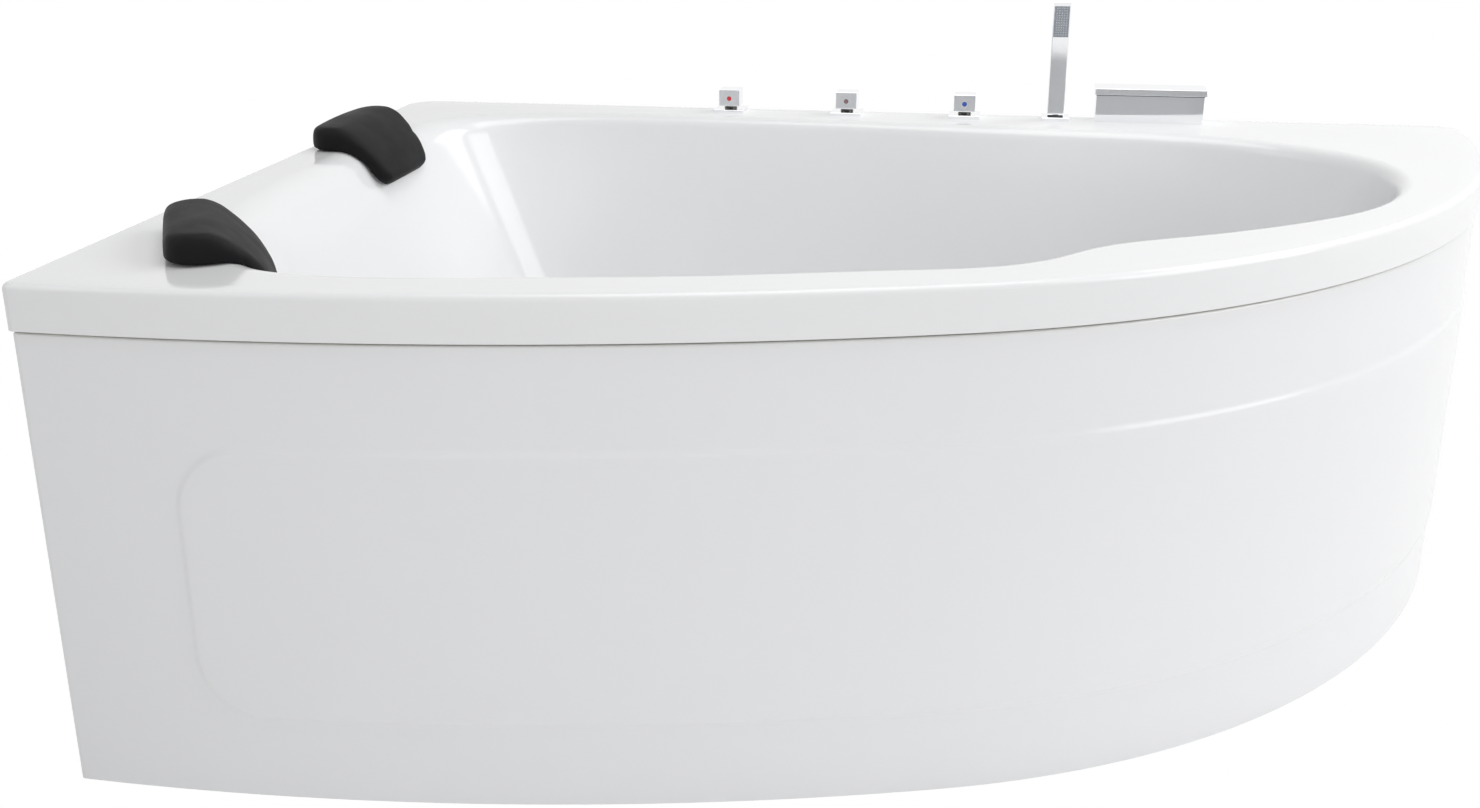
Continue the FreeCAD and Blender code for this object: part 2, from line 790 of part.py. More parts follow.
def make_panel_field():
    """The long raised field of the panel, a proud band with four rounded corners."""
    bottom, top = size("FieldBottom"), size("FieldTop")
    band = tub_block(panel_inset - size("FieldProud"), bottom, top)
    band = band.cut(tub_block(panel_inset + size("PanelWall") / 2, bottom - 1, top + 1))
    seen_from_front = rounded_plate(size("FieldMargin"), 2 * length, bottom, top, True)
    front_prism = seen_from_front.extrude(Vector(0, 2 * depth, 0))
    front_prism.translate(Vector(0, -depth / 2, 0))
    field_end = depth - size("FieldEndFromBack")
    seen_from_end = rounded_plate(-depth, field_end, bottom, top, False)
    end_prism = seen_from_end.extrude(Vector(0, 2 * length, 0))
    end_prism.rotate(Vector(), UP, 90)
    end_prism.translate(Vector(2 * length, 0, 0))
    return band.common(front_prism).common(end_prism)


def panel_holes():
    """Clearance holes for the panel screws, over the brackets."""
    drill = size("PanelScrewDiameter") + 2 * size("ScrewClearance")
    return [rod(drill, 30, spot.x, spot.y, panel_top - 20) for spot in bracket_screw_spots]


def make_apron_panel():
    """Bowed panel with a top flange, end returns and the raised field."""
    panel = tub_block(panel_inset, 0, panel_top)
    flange_inset = panel_inset + size("PanelFlange")
    flange_under = panel_top - size("PanelWall")
    panel = panel.cut(tub_block(panel_inner, -1, flange_under))
    panel = panel.cut(tub_block(flange_inset, flange_under - 1, panel_top + 1))
    panel = panel.fuse(make_panel_field()).removeSplitter()
    left_open = Part.makeBox(
        panel_inner + size("PanelFlange") + 60,
        depth,
        rim_top,
        Vector(-1, size("PanelReturn"), -1),
    )
    back_side = size("PanelReturn") + size("PanelFlange")
    back_open = Part.makeBox(length - size("PanelReturn") + 1, depth, rim_top, Vector(-1, depth - back_side, -1))
    panel = panel.cut(left_open).cut(back_open)
    for hole in panel_holes():
        panel = panel.cut(hole)
    return panel


# The brackets stand out square to the panel from the front posts and from the outrigger's post.
bracket_frames = []
for number in ("One", "Two", "Three", "Four"):
    along = size(f"CrossTube{number}Along")
    bracket_frames.append((front_point(along, 0), math.degrees(front_heading(along))))
bracket_frames.append((Vector(length, outrigger.y, 0), 90.0))
screw_inset = panel_inner + (size("PanelFlange") - size("PanelWall")) / 2
bracket_screw_spots = []
for spot, turn in bracket_frames:
    inwards = Vector(-math.sin(math.radians(turn)), math.cos(math.radians(turn)), 0)
    bracket_screw_spots.append(spot + inwards * screw_inset)


def make_apron_brackets():
    """Flat tabs welded to the posts, under the panel's top flange."""
    thick = size("BracketThickness")
    tab_bottom = panel_top - size("PanelWall") - thick
    tabs = []
    for spot, turn in bracket_frames:
        start = panel_inner + 2 * size("FitClearance")
        tab = block(size("BracketWidth"), post_inset - start, thick, 0, (post_inset + start) / 2, tab_bottom)
        tab.rotate(Vector(), UP, turn)
        tab.translate(spot)
        tabs.append(tab.cut(post_blocks))
    drill = size("PanelScrewDiameter") + 2 * size("ScrewClearance")
    drilled = []
    for tab, spot in zip(tabs, bracket_screw_spots):
        drilled.append(tab.cut(rod(drill, 4 * thick, spot.x, spot.y, tab_bottom - thick)))
    return Part.makeCompound([tab.Solids[0] for tab in drilled])


def make_bracket_screws():
    """Screws up through the tabs into the panel's flange."""
    head_top = panel_top - size("PanelWall") - size("BracketThickness")
    shank = size("BracketThickness") + size("PanelWall") - 1
    screws = []
    for spot in bracket_screw_spots:
        screw = rod(size("PanelScrewDiameter"), shank, spot.x, spot.y, head_top)
        head_height = size("ScrewHeadHeight")
        head = rod(1.8 * size("PanelScrewDiameter"), head_height, spot.x, spot.y, head_top - head_height)
        screws.append(screw.fuse(head).removeSplitter())
    return Part.makeCompound(screws)


post_blocks = [block(tube, tube, rim_top, post.x, post.y, 0) for post in posts]
plan_feature("apron_panel", make_apron_panel())
plan_feature("apron_brackets", make_apron_brackets())
plan_feature("bracket_screws", make_bracket_screws())


# ---------------------------------------------------------------- sketched and padded pieces
def new_body(label, x, z, y="Sizes.TubDepth - Sizes.TapLineFromBack"):
    """A body whose own origin stands at a plan position and height, given as sheet expressions."""
    body = doc.addObject("PartDesign::Body", label)
    body.setExpression("Placement.Base.x", f"{x} - Sizes.TubLength / 2")
    body.setExpression("Placement.Base.y", f"{y} - Sizes.TubDepth / 2")
    body.setExpression("Placement.Base.z", z)
    return keep(body, label)


def new_sketch(body, name, role, offset):
    """A sketch on one of the body's own planes, moved along the plane's normal."""
    sketch = body.newObject("Sketcher::SketchObject", name)
    plane = next(item for item in body.Origin.OriginFeatures if item.Role == role)
    sketch.AttachmentSupport = [(plane, "")]
    sketch.MapMode = "FlatFace"
    sketch.setExpression("AttachmentOffset.Base.z", offset)
    return sketch


def pin_point(sketch, shape, point, value_x, value_y):
    """Tie a point of the sketch to the sheet by its distances from the sketch's origin."""
    for kind, text, axis in (("DistanceX", value_x, -2), ("DistanceY", value_y, -1)):
        value = float(sketch.evalExpression(text))
        if abs(value) < 1e-9:
            sketch.addConstraint(Sketcher.Constraint("PointOnObject", shape, point, axis))
        else:
            number = sketch.addConstraint(Sketcher.Constraint(kind, -1, 1, shape, point, value))
            sketch.setExpression(f"Constraints[{number}]", text)


def polygon_sketch(body, name, role, corners, offset="0"):
    """A closed polygon through corners given as pairs of sheet expressions."""
    sketch = new_sketch(body, name, role, offset)
    places = [Vector(*(float(sketch.evalExpression(text)) for text in corner), 0) for corner in corners]
    count = len(places)
    for index in range(count):
        sketch.addGeometry(Part.LineSegment(places[index], places[(index + 1) % count]))
    for index in range(count):
        sketch.addConstraint(Sketcher.Constraint("Coincident", index, 2, (index + 1) % count, 1))
    for index, corner in enumerate(corners):
        pin_point(sketch, index, 1, *corner)
    return sketch


def circle_sketch(body, name, role, height, diameter, offset):
    """A circle on the upright axis of a plane, at a height."""
    sketch = new_sketch(body, name, role, offset)
    centre = Vector(0, float(sketch.evalExpression(height)), 0)
    across = float(sketch.evalExpression(diameter))
    sketch.addGeometry(Part.Circle(centre, UP, across / 2))
    pin_point(sketch, 0, 3, "0", height)
    number = sketch.addConstraint(Sketcher.Constraint("Diameter", 0, across))
    sketch.setExpression(f"Constraints[{number}]", diameter)
    return sketch


def feature_from(body, kind, name, sketch, run, backwards=False):
    """Pad a sketch along its plane's normal, or sink a pocket the other way, by a run."""
    feature = body.newObject(f"PartDesign::{kind}", name)
    feature.Profile = sketch
    feature.setExpression("Length", run)
    feature.Reversed = backwards
    return feature


def rectangle(centre_x, centre_y, width, height):
    """Corners of a rectangle about a centre, as expressions."""
    left, right = f"{centre_x} - ({width}) / 2", f"{centre_x} + ({width}) / 2"
    low, high = f"{centre_y} - ({height}) / 2", f"{centre_y} + ({height}) / 2"
    return [(left, low), (right, low), (right, high), (left, high)]


def turned_feature(body, kind, name, profile):
    """Turn a profile of radius and height expressions about the body's upright axis."""
    sketch = polygon_sketch(body, f"{name}_profile", "XZ_Plane", profile)
    feature = body.newObject(f"PartDesign::{kind}", name)
    feature.Profile = sketch
    feature.ReferenceAxis = (sketch, ["V_Axis"])
    feature.Angle = 360
    return feature


def round_edges(body, name, feature, radius, chosen=lambda edge: True):
    """Round the chosen edges of a feature."""
    doc.recompute()
    names = [f"Edge{n}" for n, edge in enumerate(feature.Shape.Edges, start=1) if chosen(edge)]
    rounding = body.newObject("PartDesign::Fillet", name)
    rounding.Base = (feature, names)
    rounding.setExpression("Radius", radius)
    return rounding


def square_block(body, name, width, deep, height, centre_y="0", bottom="0"):
    """A padded rectangular block standing on a level of the body."""
    sketch = polygon_sketch(body, f"{name}_plan", "XY_Plane", rectangle("0", centre_y, width, deep), bottom)
    return feature_from(body, "Pad", name, sketch, height)


# ---------------------------------------------------------------- taps and diverter
TAPS = {"hot": "HotFromLeft", "diverter": "DiverterFromLeft", "cold": "ColdFromLeft"}
KNOB_BASE = "Sizes.RimHeight + Sizes.PlateThickness + Sizes.KnobGap"
NECK_END = "Sizes.KnobRunningGap - Sizes.KnobGap"
SPINDLE_RADIUS = "Sizes.SpindleDiameter / 2"
SPINDLE_BORE = "Sizes.SpindleDiameter / 2 + Sizes.SpindleClearance"


def add_escutcheon(name):
    """Square cover plate on the deck, bored for the valve's neck."""
    body = new_body(f"escutcheon_{name}", f"Sizes.{TAPS[name]}", "Sizes.RimHeight")
    plate = square_block(body, "plate", "Sizes.PlateWidth", "Sizes.PlateWidth", "Sizes.PlateThickness")
    round_edges(body, "edges", plate, "Sizes.PlateEdge", lambda edge: edge.CenterOfMass.z > 0.1)
    bore = "Sizes.ValveNeck / 2 + Sizes.ThreadClearance"
    top = "Sizes.PlateThickness + 1"
    turned_feature(body, "Groove", "bore", [("0", "-1"), (bore, "-1"), (bore, top), ("0", top)])


def add_knob(name):
    """Square knob on a round neck, with a marker recess in front and a bore for the spindle."""
    body = new_body(f"knob_{name}", f"Sizes.{TAPS[name]}", KNOB_BASE)
    block_feature = square_block(body, "block", "Sizes.KnobWidth", "Sizes.KnobWidth", "Sizes.KnobHeight")
    round_edges(body, "edges", block_feature, "Sizes.KnobEdge")
    neck = "Sizes.KnobNeck / 2"
    turned_feature(body, "Revolution", "neck", [("0", NECK_END), (neck, NECK_END), (neck, "1"), ("0", "1")])
    turned_feature(
        body,
        "Groove",
        "spindle_bore",
        [
            ("0", f"{NECK_END} - 1"),
            (SPINDLE_BORE, f"{NECK_END} - 1"),
            (SPINDLE_BORE, "Sizes.SpindleInKnob"),
            ("0", "Sizes.SpindleInKnob"),
        ],
    )
    height = "Sizes.KnobHeight / 2 - Sizes.MarkerDrop"
    across = "Sizes.MarkerDiameter + 2 * Sizes.SpindleClearance"
    circle = circle_sketch(body, "marker_outline", "XZ_Plane", height, across, "Sizes.KnobWidth / 2")
    feature_from(body, "Pocket", "marker_recess", circle, "Sizes.MarkerDepth")


def add_marker(name):
    """Round coloured marker let into the front of a knob."""
    body = new_body(f"marker_{name}", f"Sizes.{TAPS[name]}", KNOB_BASE)
    height = "Sizes.KnobHeight / 2 - Sizes.MarkerDrop"
    face = "Sizes.KnobWidth / 2 - Sizes.MarkerDepth"
    circle = circle_sketch(body, "outline", "XZ_Plane", height, "Sizes.MarkerDiameter", face)
    feature_from(body, "Pad", "disc", circle, "Sizes.MarkerDepth")


def add_spindle(name):
    """Valve spindle that turns with the knob."""
    body = new_body(f"spindle_{name}", f"Sizes.{TAPS[name]}", KNOB_BASE)
    top = "Sizes.SpindleInKnob"
    bottom = "Sizes.SpindleInKnob - Sizes.SpindleLength"
    profile = [("0", bottom), (SPINDLE_RADIUS, bottom), (SPINDLE_RADIUS, top), ("0", top)]
    turned_feature(body, "Revolution", "rod", profile)


def add_valve(name, tail, side_sockets, front_sockets):
    """Valve body hung under the deck by its neck, with sockets for the pipes."""
    body = new_body(f"valve_{name}", f"Sizes.{TAPS[name]}", "Sizes.RimHeight")
    neck, barrel = "Sizes.ValveNeck / 2", "Sizes.ValveDiameter / 2"
    top, shoulder = "Sizes.ValveNeckTop", "-Sizes.ValveTop"
    foot = "-Sizes.ValveTop - Sizes.ValveLength"
    profile = [("0", top), (neck, top), (neck, shoulder), (barrel, shoulder), (barrel, foot)]
    if tail:
        thread, end = "Sizes.ValveTail / 2", f"{foot} - Sizes.ValveTailLength"
        profile += [(thread, foot), (thread, end), ("0", end)]
    else:
        profile += [("0", foot)]
    turned_feature(body, "Revolution", "barrel", profile)
    bottom = "Sizes.PlateThickness + Sizes.KnobGap + Sizes.SpindleInKnob"
    bottom += " - Sizes.SpindleLength - Sizes.KnobRunningGap"
    bore = [("0", bottom), (SPINDLE_BORE, bottom), (SPINDLE_BORE, f"{top} + 1"), ("0", f"{top} + 1")]
    turned_feature(body, "Groove", "spindle_bore", bore)
    if tail:
        radius, high = "Sizes.ValveBore / 2", f"{end} + Sizes.ValveBoreDepth"
        bore = [("0", f"{end} - 1"), (radius, f"{end} - 1"), (radius, high), ("0", high)]
        turned_feature(body, "Groove", "inlet_bore", bore)
    across = "Sizes.PipeDiameter + 2 * Sizes.ThreadClearance"
    for side in side_sockets:
        face = barrel if side > 0 else f"-{barrel}"
        circle = circle_sketch(body, "side_socket", "YZ_Plane", "-Sizes.FeedPipeDepth", across, face)
        feature_from(body, "Pocket", "side_pocket", circle, "Sizes.PipeSocket", side < 0)
    for level in front_sockets:
        circle = circle_sketch(body, "front_socket", "XZ_Plane", f"-Sizes.{level}", across, barrel)
        feature_from(body, "Pocket", "front_pocket", circle, "Sizes.PipeSocket")


for tap in TAPS:
    add_escutcheon(tap)
    add_knob(tap)
    add_marker(tap)
    add_spindle(tap)
add_valve("hot", True, [1], [])
add_valve("diverter", False, [-1, 1], ["ShowerPipeDepth", "SpoutPipeDepth"])
add_valve("cold", True, [-1], [])


def make_clamp_nuts():
    """Round nuts that draw the tap necks, the shower sleeve and the spout's shank to the deck."""
    bore = size("ValveNeck") + 2 * size("ThreadClearance")
    height = size("NutHeight")
    rings = [ring(size("NutDiameter"), bore, height, x, tap_y, deck_under - height) for x in tap_line.values()]
    return Part.makeCompound(rings)


plan_feature("clamp_nuts", make_clamp_nuts())


# ---------------------------------------------------------------- pipes under the deck
def bent_pipe(corners, diameter, pipe_wall, bend):
    """A pipe through corner points, with its corners bent to a radius."""

    def pipe_end(place, heading):
        outline, bore = (
            Part.Face(Part.Wire([Part.makeCircle(radius, place, heading)]))
            for radius in (diameter / 2, diameter / 2 - pipe_wall)
        )
        return outline.cut(bore)

    runs = []
    start = corners[0]
    for before, corner, after in zip(corners, corners[1:], corners[2:]):
        heading = corner.sub(before).normalize()
        ahead = after.sub(corner).normalize()
        turn = heading.getAngle(ahead)
        trim = bend * math.tan(turn / 2)
        bend_start = corner - heading * trim
        runs.append(pipe_end(start, heading).extrude(bend_start.sub(start)))
        inwards = (ahead - heading * math.cos(turn)).normalize()
        centre = bend_start + inwards * bend
        axis = heading.cross(ahead)
        runs.append(pipe_end(bend_start, heading).revolve(centre, axis, math.degrees(turn)))
        start = corner + ahead * trim
    last = corners[-1].sub(start)
    runs.append(pipe_end(start, last).extrude(last))
    return runs[0].fuse(runs[1:]).removeSplitter() if len(runs) > 1 else runs[0]


def deck_pipe(corners):
    return bent_pipe(corners, size("PipeDiameter"), size("PipeWall"), size("PipeBend"))


socket_floor = size("ValveDiameter") / 2 - size("PipeSocket")
feed_level = rim_top - size("FeedPipeDepth")
shower_level = rim_top - size("ShowerPipeDepth")
spout_level = rim_top - size("SpoutPipeDepth")
outlet_y = tap_y - size("OutletPipeForward")
hose_x = size("HoseOutletFromLeft")
hose_top = shower_level - size("HoseOutletDrop")
for first, second in (("hot", "diverter"), ("diverter", "cold")):
    ends = [
        Vector(tap_line[first] + socket_floor, tap_y, feed_level),
        Vector(tap_line[second] - socket_floor, tap_y, feed_level),
    ]
    plan_feature(f"{first if first != 'diverter' else second}_feed_pipe", deck_pipe(ends))

shower_run = [
    Vector(tap_line["diverter"], tap_y - socket_floor, shower_level),
    Vector(tap_line["diverter"], outlet_y, shower_level),
    Vector(hose_x, outlet_y, shower_level),
    Vector(hose_x, outlet_y, hose_top - size("PipeSocket")),
]
spout_run = [
    Vector(tap_line["diverter"], tap_y - socket_floor, spout_level),
    Vector(tap_line["diverter"], outlet_y, spout_level),
    Vector(tap_line["spout"], outlet_y, spout_level),
    Vector(tap_line["spout"], tap_y, spout_level),
    Vector(tap_line["spout"], tap_y, rim_top - size("SpoutShankLength") + size("PipeSocket")),
]
plan_feature("shower_pipe", deck_pipe(shower_run))
plan_feature("spout_pipe", deck_pipe(spout_run))


def make_hose_outlet():
    """Threaded outlet for the shower hose, pointing down from the end of the shower pipe."""
    collar = size("HoseOutletLength")
    end = hose_top - collar - size("HoseThreadLength")
    outlet = rod(size("HoseOutletDiameter"), collar, hose_x, outlet_y, hose_top - collar)
    outlet = outlet.fuse(rod(size("HoseThread"), hose_top - end, hose_x, outlet_y, end))
    seat = size("PipeDiameter") + 2 * size("ThreadClearance")
    outlet = outlet.cut(rod(seat, 2 * size("PipeSocket"), hose_x, outlet_y, hose_top - size("PipeSocket")))
    outlet = outlet.cut(rod(size("PipeDiameter") - 2 * size("PipeWall"), rim_top, hose_x, outlet_y, 0))
    return outlet.removeSplitter()


plan_feature("hose_outlet", make_hose_outlet())


# ---------------------------------------------------------------- hand shower
SHOWER = "Sizes.ShowerFromLeft"
holder = new_body("shower_holder", SHOWER, "Sizes.RimHeight")
holder_plate = square_block(
    holder, "plate", "Sizes.HolderWidth", "Sizes.HolderWidth", "Sizes.HolderThickness"
)
round_edges(holder, "edges", holder_plate, "Sizes.PlateEdge", lambda edge: edge.CenterOfMass.z > 0.1)
sleeve, sleeve_end = "Sizes.SleeveDiameter / 2", "-Sizes.SleeveLength"
turned_feature(
    holder, "Revolution", "sleeve", [("0", sleeve_end), (sleeve, sleeve_end), (sleeve, "1"), ("0", "1")]
)
bore, bore_top = "Sizes.SleeveBore / 2", "Sizes.HolderThickness + 1"
turned_feature(
    holder,
    "Groove",
    "bore",
    [("0", f"{sleeve_end} - 1"), (bore, f"{sleeve_end} - 1"), (bore, bore_top), ("0", bore_top)],
)

seal_ring = new_body("holder_ring", SHOWER, "Sizes.RimHeight + Sizes.HolderThickness")
outer = "Sizes.HolderRingWidth / 2"
turned_feature(
    seal_ring,
    "Revolution",
    "ring",
    [(bore, "0"), (outer, "0"), (outer, "Sizes.HolderRing"), (bore, "Sizes.HolderRing")],
)

HANDSET_BASE = "Sizes.RimHeight + Sizes.HolderThickness + Sizes.HolderRing + Sizes.HandsetSeatGap"
HANDSET_HEIGHT = f"Sizes.HandsetTop - ({HANDSET_BASE})"
SPRAY_MIDDLE = f"{HANDSET_HEIGHT} - Sizes.SprayFromTop - Sizes.SprayHeight / 2"
handset = new_body("handset_body", SHOWER, HANDSET_BASE)
handset_block = square_block(
    handset, "block", "Sizes.HandsetWidth", "Sizes.HandsetDepth", HANDSET_HEIGHT
)
round_edges(handset, "edges", handset_block, "Sizes.HandsetEdge")
connector, connector_end = "Sizes.ConnectorDiameter / 2", "-Sizes.ConnectorLength"
turned_feature(
    handset,
    "Revolution",
    "connector",
    [("0", connector_end), (connector, connector_end), (connector, "2"), ("0", "2")],
)
water = "Sizes.ConnectorBore / 2"
turned_feature(
    handset,
    "Groove",
    "waterway",
    [
        ("0", f"{connector_end} - 1"),
        (water, f"{connector_end} - 1"),
        (water, "Sizes.ConnectorLength"),
        ("0", "Sizes.ConnectorLength"),
    ],
)
recess = polygon_sketch(
    handset,
    "spray_outline",
    "XZ_Plane",
    rectangle(
        "0",
        SPRAY_MIDDLE,
        "Sizes.SprayWidth + 2 * Sizes.SprayClearance",
        "Sizes.SprayHeight + 2 * Sizes.SprayClearance",
    ),
    "Sizes.HandsetDepth / 2",
)
feature_from(handset, "Pocket", "spray_recess", recess, "Sizes.SprayDepth")

spray = new_body("spray_face", SHOWER, HANDSET_BASE)
spray_outline = polygon_sketch(
    spray,
    "outline",
    "XZ_Plane",
    rectangle("0", SPRAY_MIDDLE, "Sizes.SprayWidth", "Sizes.SprayHeight"),
    "Sizes.HandsetDepth / 2 - Sizes.SprayDepth",
)
feature_from(spray, "Pad", "plate", spray_outline, "Sizes.SprayDepth")


# ---------------------------------------------------------------- spout
SPOUT = "Sizes.SpoutFromLeft"
spout = new_body("spout_body", SPOUT, "Sizes.RimHeight")
spout_middle = "Sizes.TapLineFromBack - Sizes.SpoutFromBack - Sizes.SpoutDepth / 2"
spout_block = square_block(
    spout, "block", "Sizes.SpoutWidth", "Sizes.SpoutDepth", "Sizes.SpoutHeight", spout_middle
)
round_edges(
    spout,
    "edges",
    spout_block,
    "Sizes.SpoutEdge",
    lambda edge: abs(edge.Vertexes[0].Z - edge.Vertexes[1].Z) > 1,
)
chamber_width = "Sizes.SpoutWidth - 2 * Sizes.SpoutWall"
chamber = polygon_sketch(
    spout,
    "chamber_plan",
    "XY_Plane",
    rectangle("0", spout_middle, chamber_width, "Sizes.SpoutDepth - 2 * Sizes.SpoutWall"),
    "Sizes.SpoutHeight",
)
feature_from(spout, "Pocket", "chamber", chamber, "Sizes.SpoutHeight - Sizes.SpoutWall")
lip_middle = "Sizes.TapLineFromBack - Sizes.SpoutFromBack - Sizes.SpoutDepth"
slot = polygon_sketch(
    spout,
    "slot_plan",
    "XY_Plane",
    rectangle("0", lip_middle, chamber_width, "3 * Sizes.SpoutWall"),
    "Sizes.SpoutHeight",
)
feature_from(spout, "Pocket", "slot", slot, "Sizes.SpoutSlot")
shank, shank_end = "Sizes.SpoutShank / 2", "-Sizes.SpoutShankLength"
turned_feature(
    spout, "Revolution", "shank", [("0", shank_end), (shank, shank_end), (shank, "1"), ("0", "1")]
)
water, seat = "Sizes.SpoutShankBore / 2", "Sizes.PipeDiameter / 2 + Sizes.ThreadClearance"
seat_top, water_top = f"{shank_end} + Sizes.PipeSocket", "Sizes.SpoutWall + 1"
turned_feature(
    spout,
    "Groove",
    "waterway",
    [
        ("0", f"{shank_end} - 1"),
        (seat, f"{shank_end} - 1"),
        (seat, seat_top),
        (water, seat_top),
        (water, water_top),
        ("0", water_top),
    ],
)

cover = new_body("spout_cover", SPOUT, "Sizes.RimHeight + Sizes.SpoutHeight")
cover_middle = "Sizes.TapLineFromBack - Sizes.CoverFromBack - Sizes.CoverDepth / 2"
cover_block = square_block(
    cover, "slab", "Sizes.CoverWidth", "Sizes.CoverDepth", "Sizes.CoverThickness", cover_middle
)
round_edges(cover, "edges", cover_block, "Sizes.SpoutEdge")


# ---------------------------------------------------------------- waste
flange_top = floor_inside + size("DrainFlangeRise")
throat_end = floor_under - size("DrainSealThickness") - size("ThroatLength")
body_top = floor_under - size("DrainSealThickness")
body_end = body_top - size("DrainBodyHeight")
inlet_level = body_top - size("OverflowInletDrop")
waste_level = body_end - size("WastePipeDrop")


def make_drain_flange():
    """Dished flange on a threaded throat, with a spider that guides the plug's stem."""
    inner = size("DrainThroat") / 2
    outer = inner + size("DrainThroatWall")
    wide = size("DrainFlangeDiameter") / 2
    recess = floor_inside - size("DrainRecess")
    profile = [(inner, throat_end), (outer, throat_end), (outer, recess), (wide, recess)]
    profile += [(wide, flange_top - 1), (wide - 1, flange_top), (inner + 1, flange_top), (inner, flange_top - 1)]
    flange = turned(profile, drain.x, drain.y)
    hub = size("PlugStem") + 2 * size("StemClearance")
    arm = size("SpiderThickness")
    for turn in (0, 60, 120):
        bar = block(2 * inner + arm / 2, arm, arm, 0, 0, throat_end)
        bar.rotate(Vector(), UP, turn)
        bar.translate(drain)
        flange = flange.fuse(bar)
    flange = flange.fuse(rod(2 * size("PlugStem"), arm, drain.x, drain.y, throat_end))
    return flange.cut(rod(hub, 3 * arm, drain.x, drain.y, throat_end - arm)).removeSplitter()


def towards(solid, direction):
    """Lay an upright solid over so that it points from the drain in a level direction."""
    solid.rotate(Vector(), Vector(0, 1, 0), 90)
    solid.rotate(Vector(), UP, math.degrees(math.atan2(direction.y, direction.x)))
    return solid


def side_socket(solid, direction, level, boss_width, reach, pipe_width, bore, inside):
    """Add a socket for a side pipe to a cup around the drain."""
    seat = size("PipeSeat")
    place = Vector(drain.x, drain.y, level)
    boss = towards(rod(boss_width, reach - inside, 0, 0, inside), direction)
    pipe_seat = towards(rod(pipe_width + 2 * size("ThreadClearance"), seat, 0, 0, reach - seat), direction)
    way = towards(rod(bore, reach, 0, 0, 0), direction)
    for piece in (boss, pipe_seat, way):
        piece.translate(place)
    return solid.fuse(boss).cut(pipe_seat).cut(way)


pipe_drop = overflow_place.multVec(
    Vector(0, 0, -wall - size("OverflowGasket") - size("OverflowBodyLength") / 2)
)
to_overflow = Vector(pipe_drop.x - drain.x, pipe_drop.y - drain.y, 0)
to_overflow.normalize()
to_back = Vector(0, 1, 0)


def make_drain_body():
    """Waste body clamped under the floor, with a side socket for the overflow pipe."""
    inner = size("DrainBodyDiameter") / 2 - size("DrainBodyWall")
    throat = size("DrainThroat") / 2 + size("DrainThroatWall") + size("ThreadClearance")
    outer = size("DrainBodyDiameter") / 2
    flange = size("DrainBodyFlange") / 2
    thick = size("DrainBodyWall")
    outlet = size("WastePipeDiameter") / 2 - size("WastePipeWall")
    profile = [(throat, body_top), (flange, body_top), (flange, body_top - thick), (outer, body_top - thick)]
    profile += [(outer, body_end), (outlet, body_end), (outlet, body_end + thick), (inner, body_end + thick)]
    profile += [(inner, throat_end), (throat, throat_end)]
    cup = turned(profile, drain.x, drain.y)
    pipe = size("OverflowPipeDiameter")
    return side_socket(
        cup,
        to_overflow,
        inlet_level,
        size("OverflowBossDiameter"),
        size("OverflowBossReach"),
        pipe,
        pipe - 2 * size("OverflowPipeWall"),
        inner + thick / 2,
    )


def make_trap_body():
    """Low trap under the waste body, with a side socket for the waste pipe."""
    outer = size("TrapDiameter") / 2
    inner = outer - size("TrapWall")
    inlet = size("WastePipeDiameter") / 2 - size("WastePipeWall")
    thick = size("TrapWall")
    bottom = body_end - size("TrapHeight")
    profile = [(0, bottom), (outer, bottom), (outer, body_end), (inlet, body_end), (inlet, body_end - thick)]
    profile += [(inner, body_end - thick), (inner, bottom + thick), (0, bottom + thick)]
    cup = turned(profile, drain.x, drain.y)
    return side_socket(
        cup,
        to_back,
        waste_level,
        size("TrapBossDiameter"),
        size("TrapBossReach"),
        size("WasteSpigot"),
        2 * inlet,
        inner + thick / 2,
    )


def make_waste_pipe():
    """Straight waste pipe from the trap to the back wall, turned down where it enters the trap."""
    start = drain.y + size("TrapBossReach") - size("PipeSeat")
    end = depth - size("WasteEndFromBack")
    corners = [Vector(drain.x, start, waste_level), Vector(drain.x, end, waste_level)]
    pipe = bent_pipe(corners, size("WastePipeDiameter"), size("WastePipeWall"), 0)
    turned_length = size("PipeSeat") + 1
    turned_away = ring(size("WastePipeDiameter") + 2, size("WasteSpigot"), turned_length, 0, 0, 0)
    turned_away = towards(turned_away, to_back)
    turned_away.translate(corners[0])
    return pipe.cut(turned_away)


plan_feature("drain_flange", make_drain_flange())
plan_feature("drain_body", make_drain_body())
plan_feature("trap_body", make_trap_body())
plan_feature("waste_pipe", make_waste_pipe())

DRAIN = ("Sizes.DrainFromLeft", "Sizes.DrainFromFront")
floor_level = "Sizes.FloorHeight"
seal = new_body("drain_seal", DRAIN[0], f"{floor_level} - Sizes.ShellWall", DRAIN[1])
inner = "Sizes.DrainThroat / 2 + Sizes.DrainThroatWall + Sizes.DrainHoleClearance"
outer, under = "Sizes.DrainBodyFlange / 2", "-Sizes.DrainSealThickness"
turned_feature(seal, "Revolution", "ring", [(inner, "0"), (outer, "0"), (outer, under), (inner, under)])

plug_seal = new_body("plug_seal", DRAIN[0], f"{floor_level} + Sizes.DrainFlangeRise", DRAIN[1])
inner, outer = "Sizes.PlugSealInner / 2", "Sizes.PlugDiameter / 2 - 2"
top = "Sizes.PlugSealThickness"
turned_feature(plug_seal, "Revolution", "ring", [(inner, "0"), (outer, "0"), (outer, top), (inner, top)])

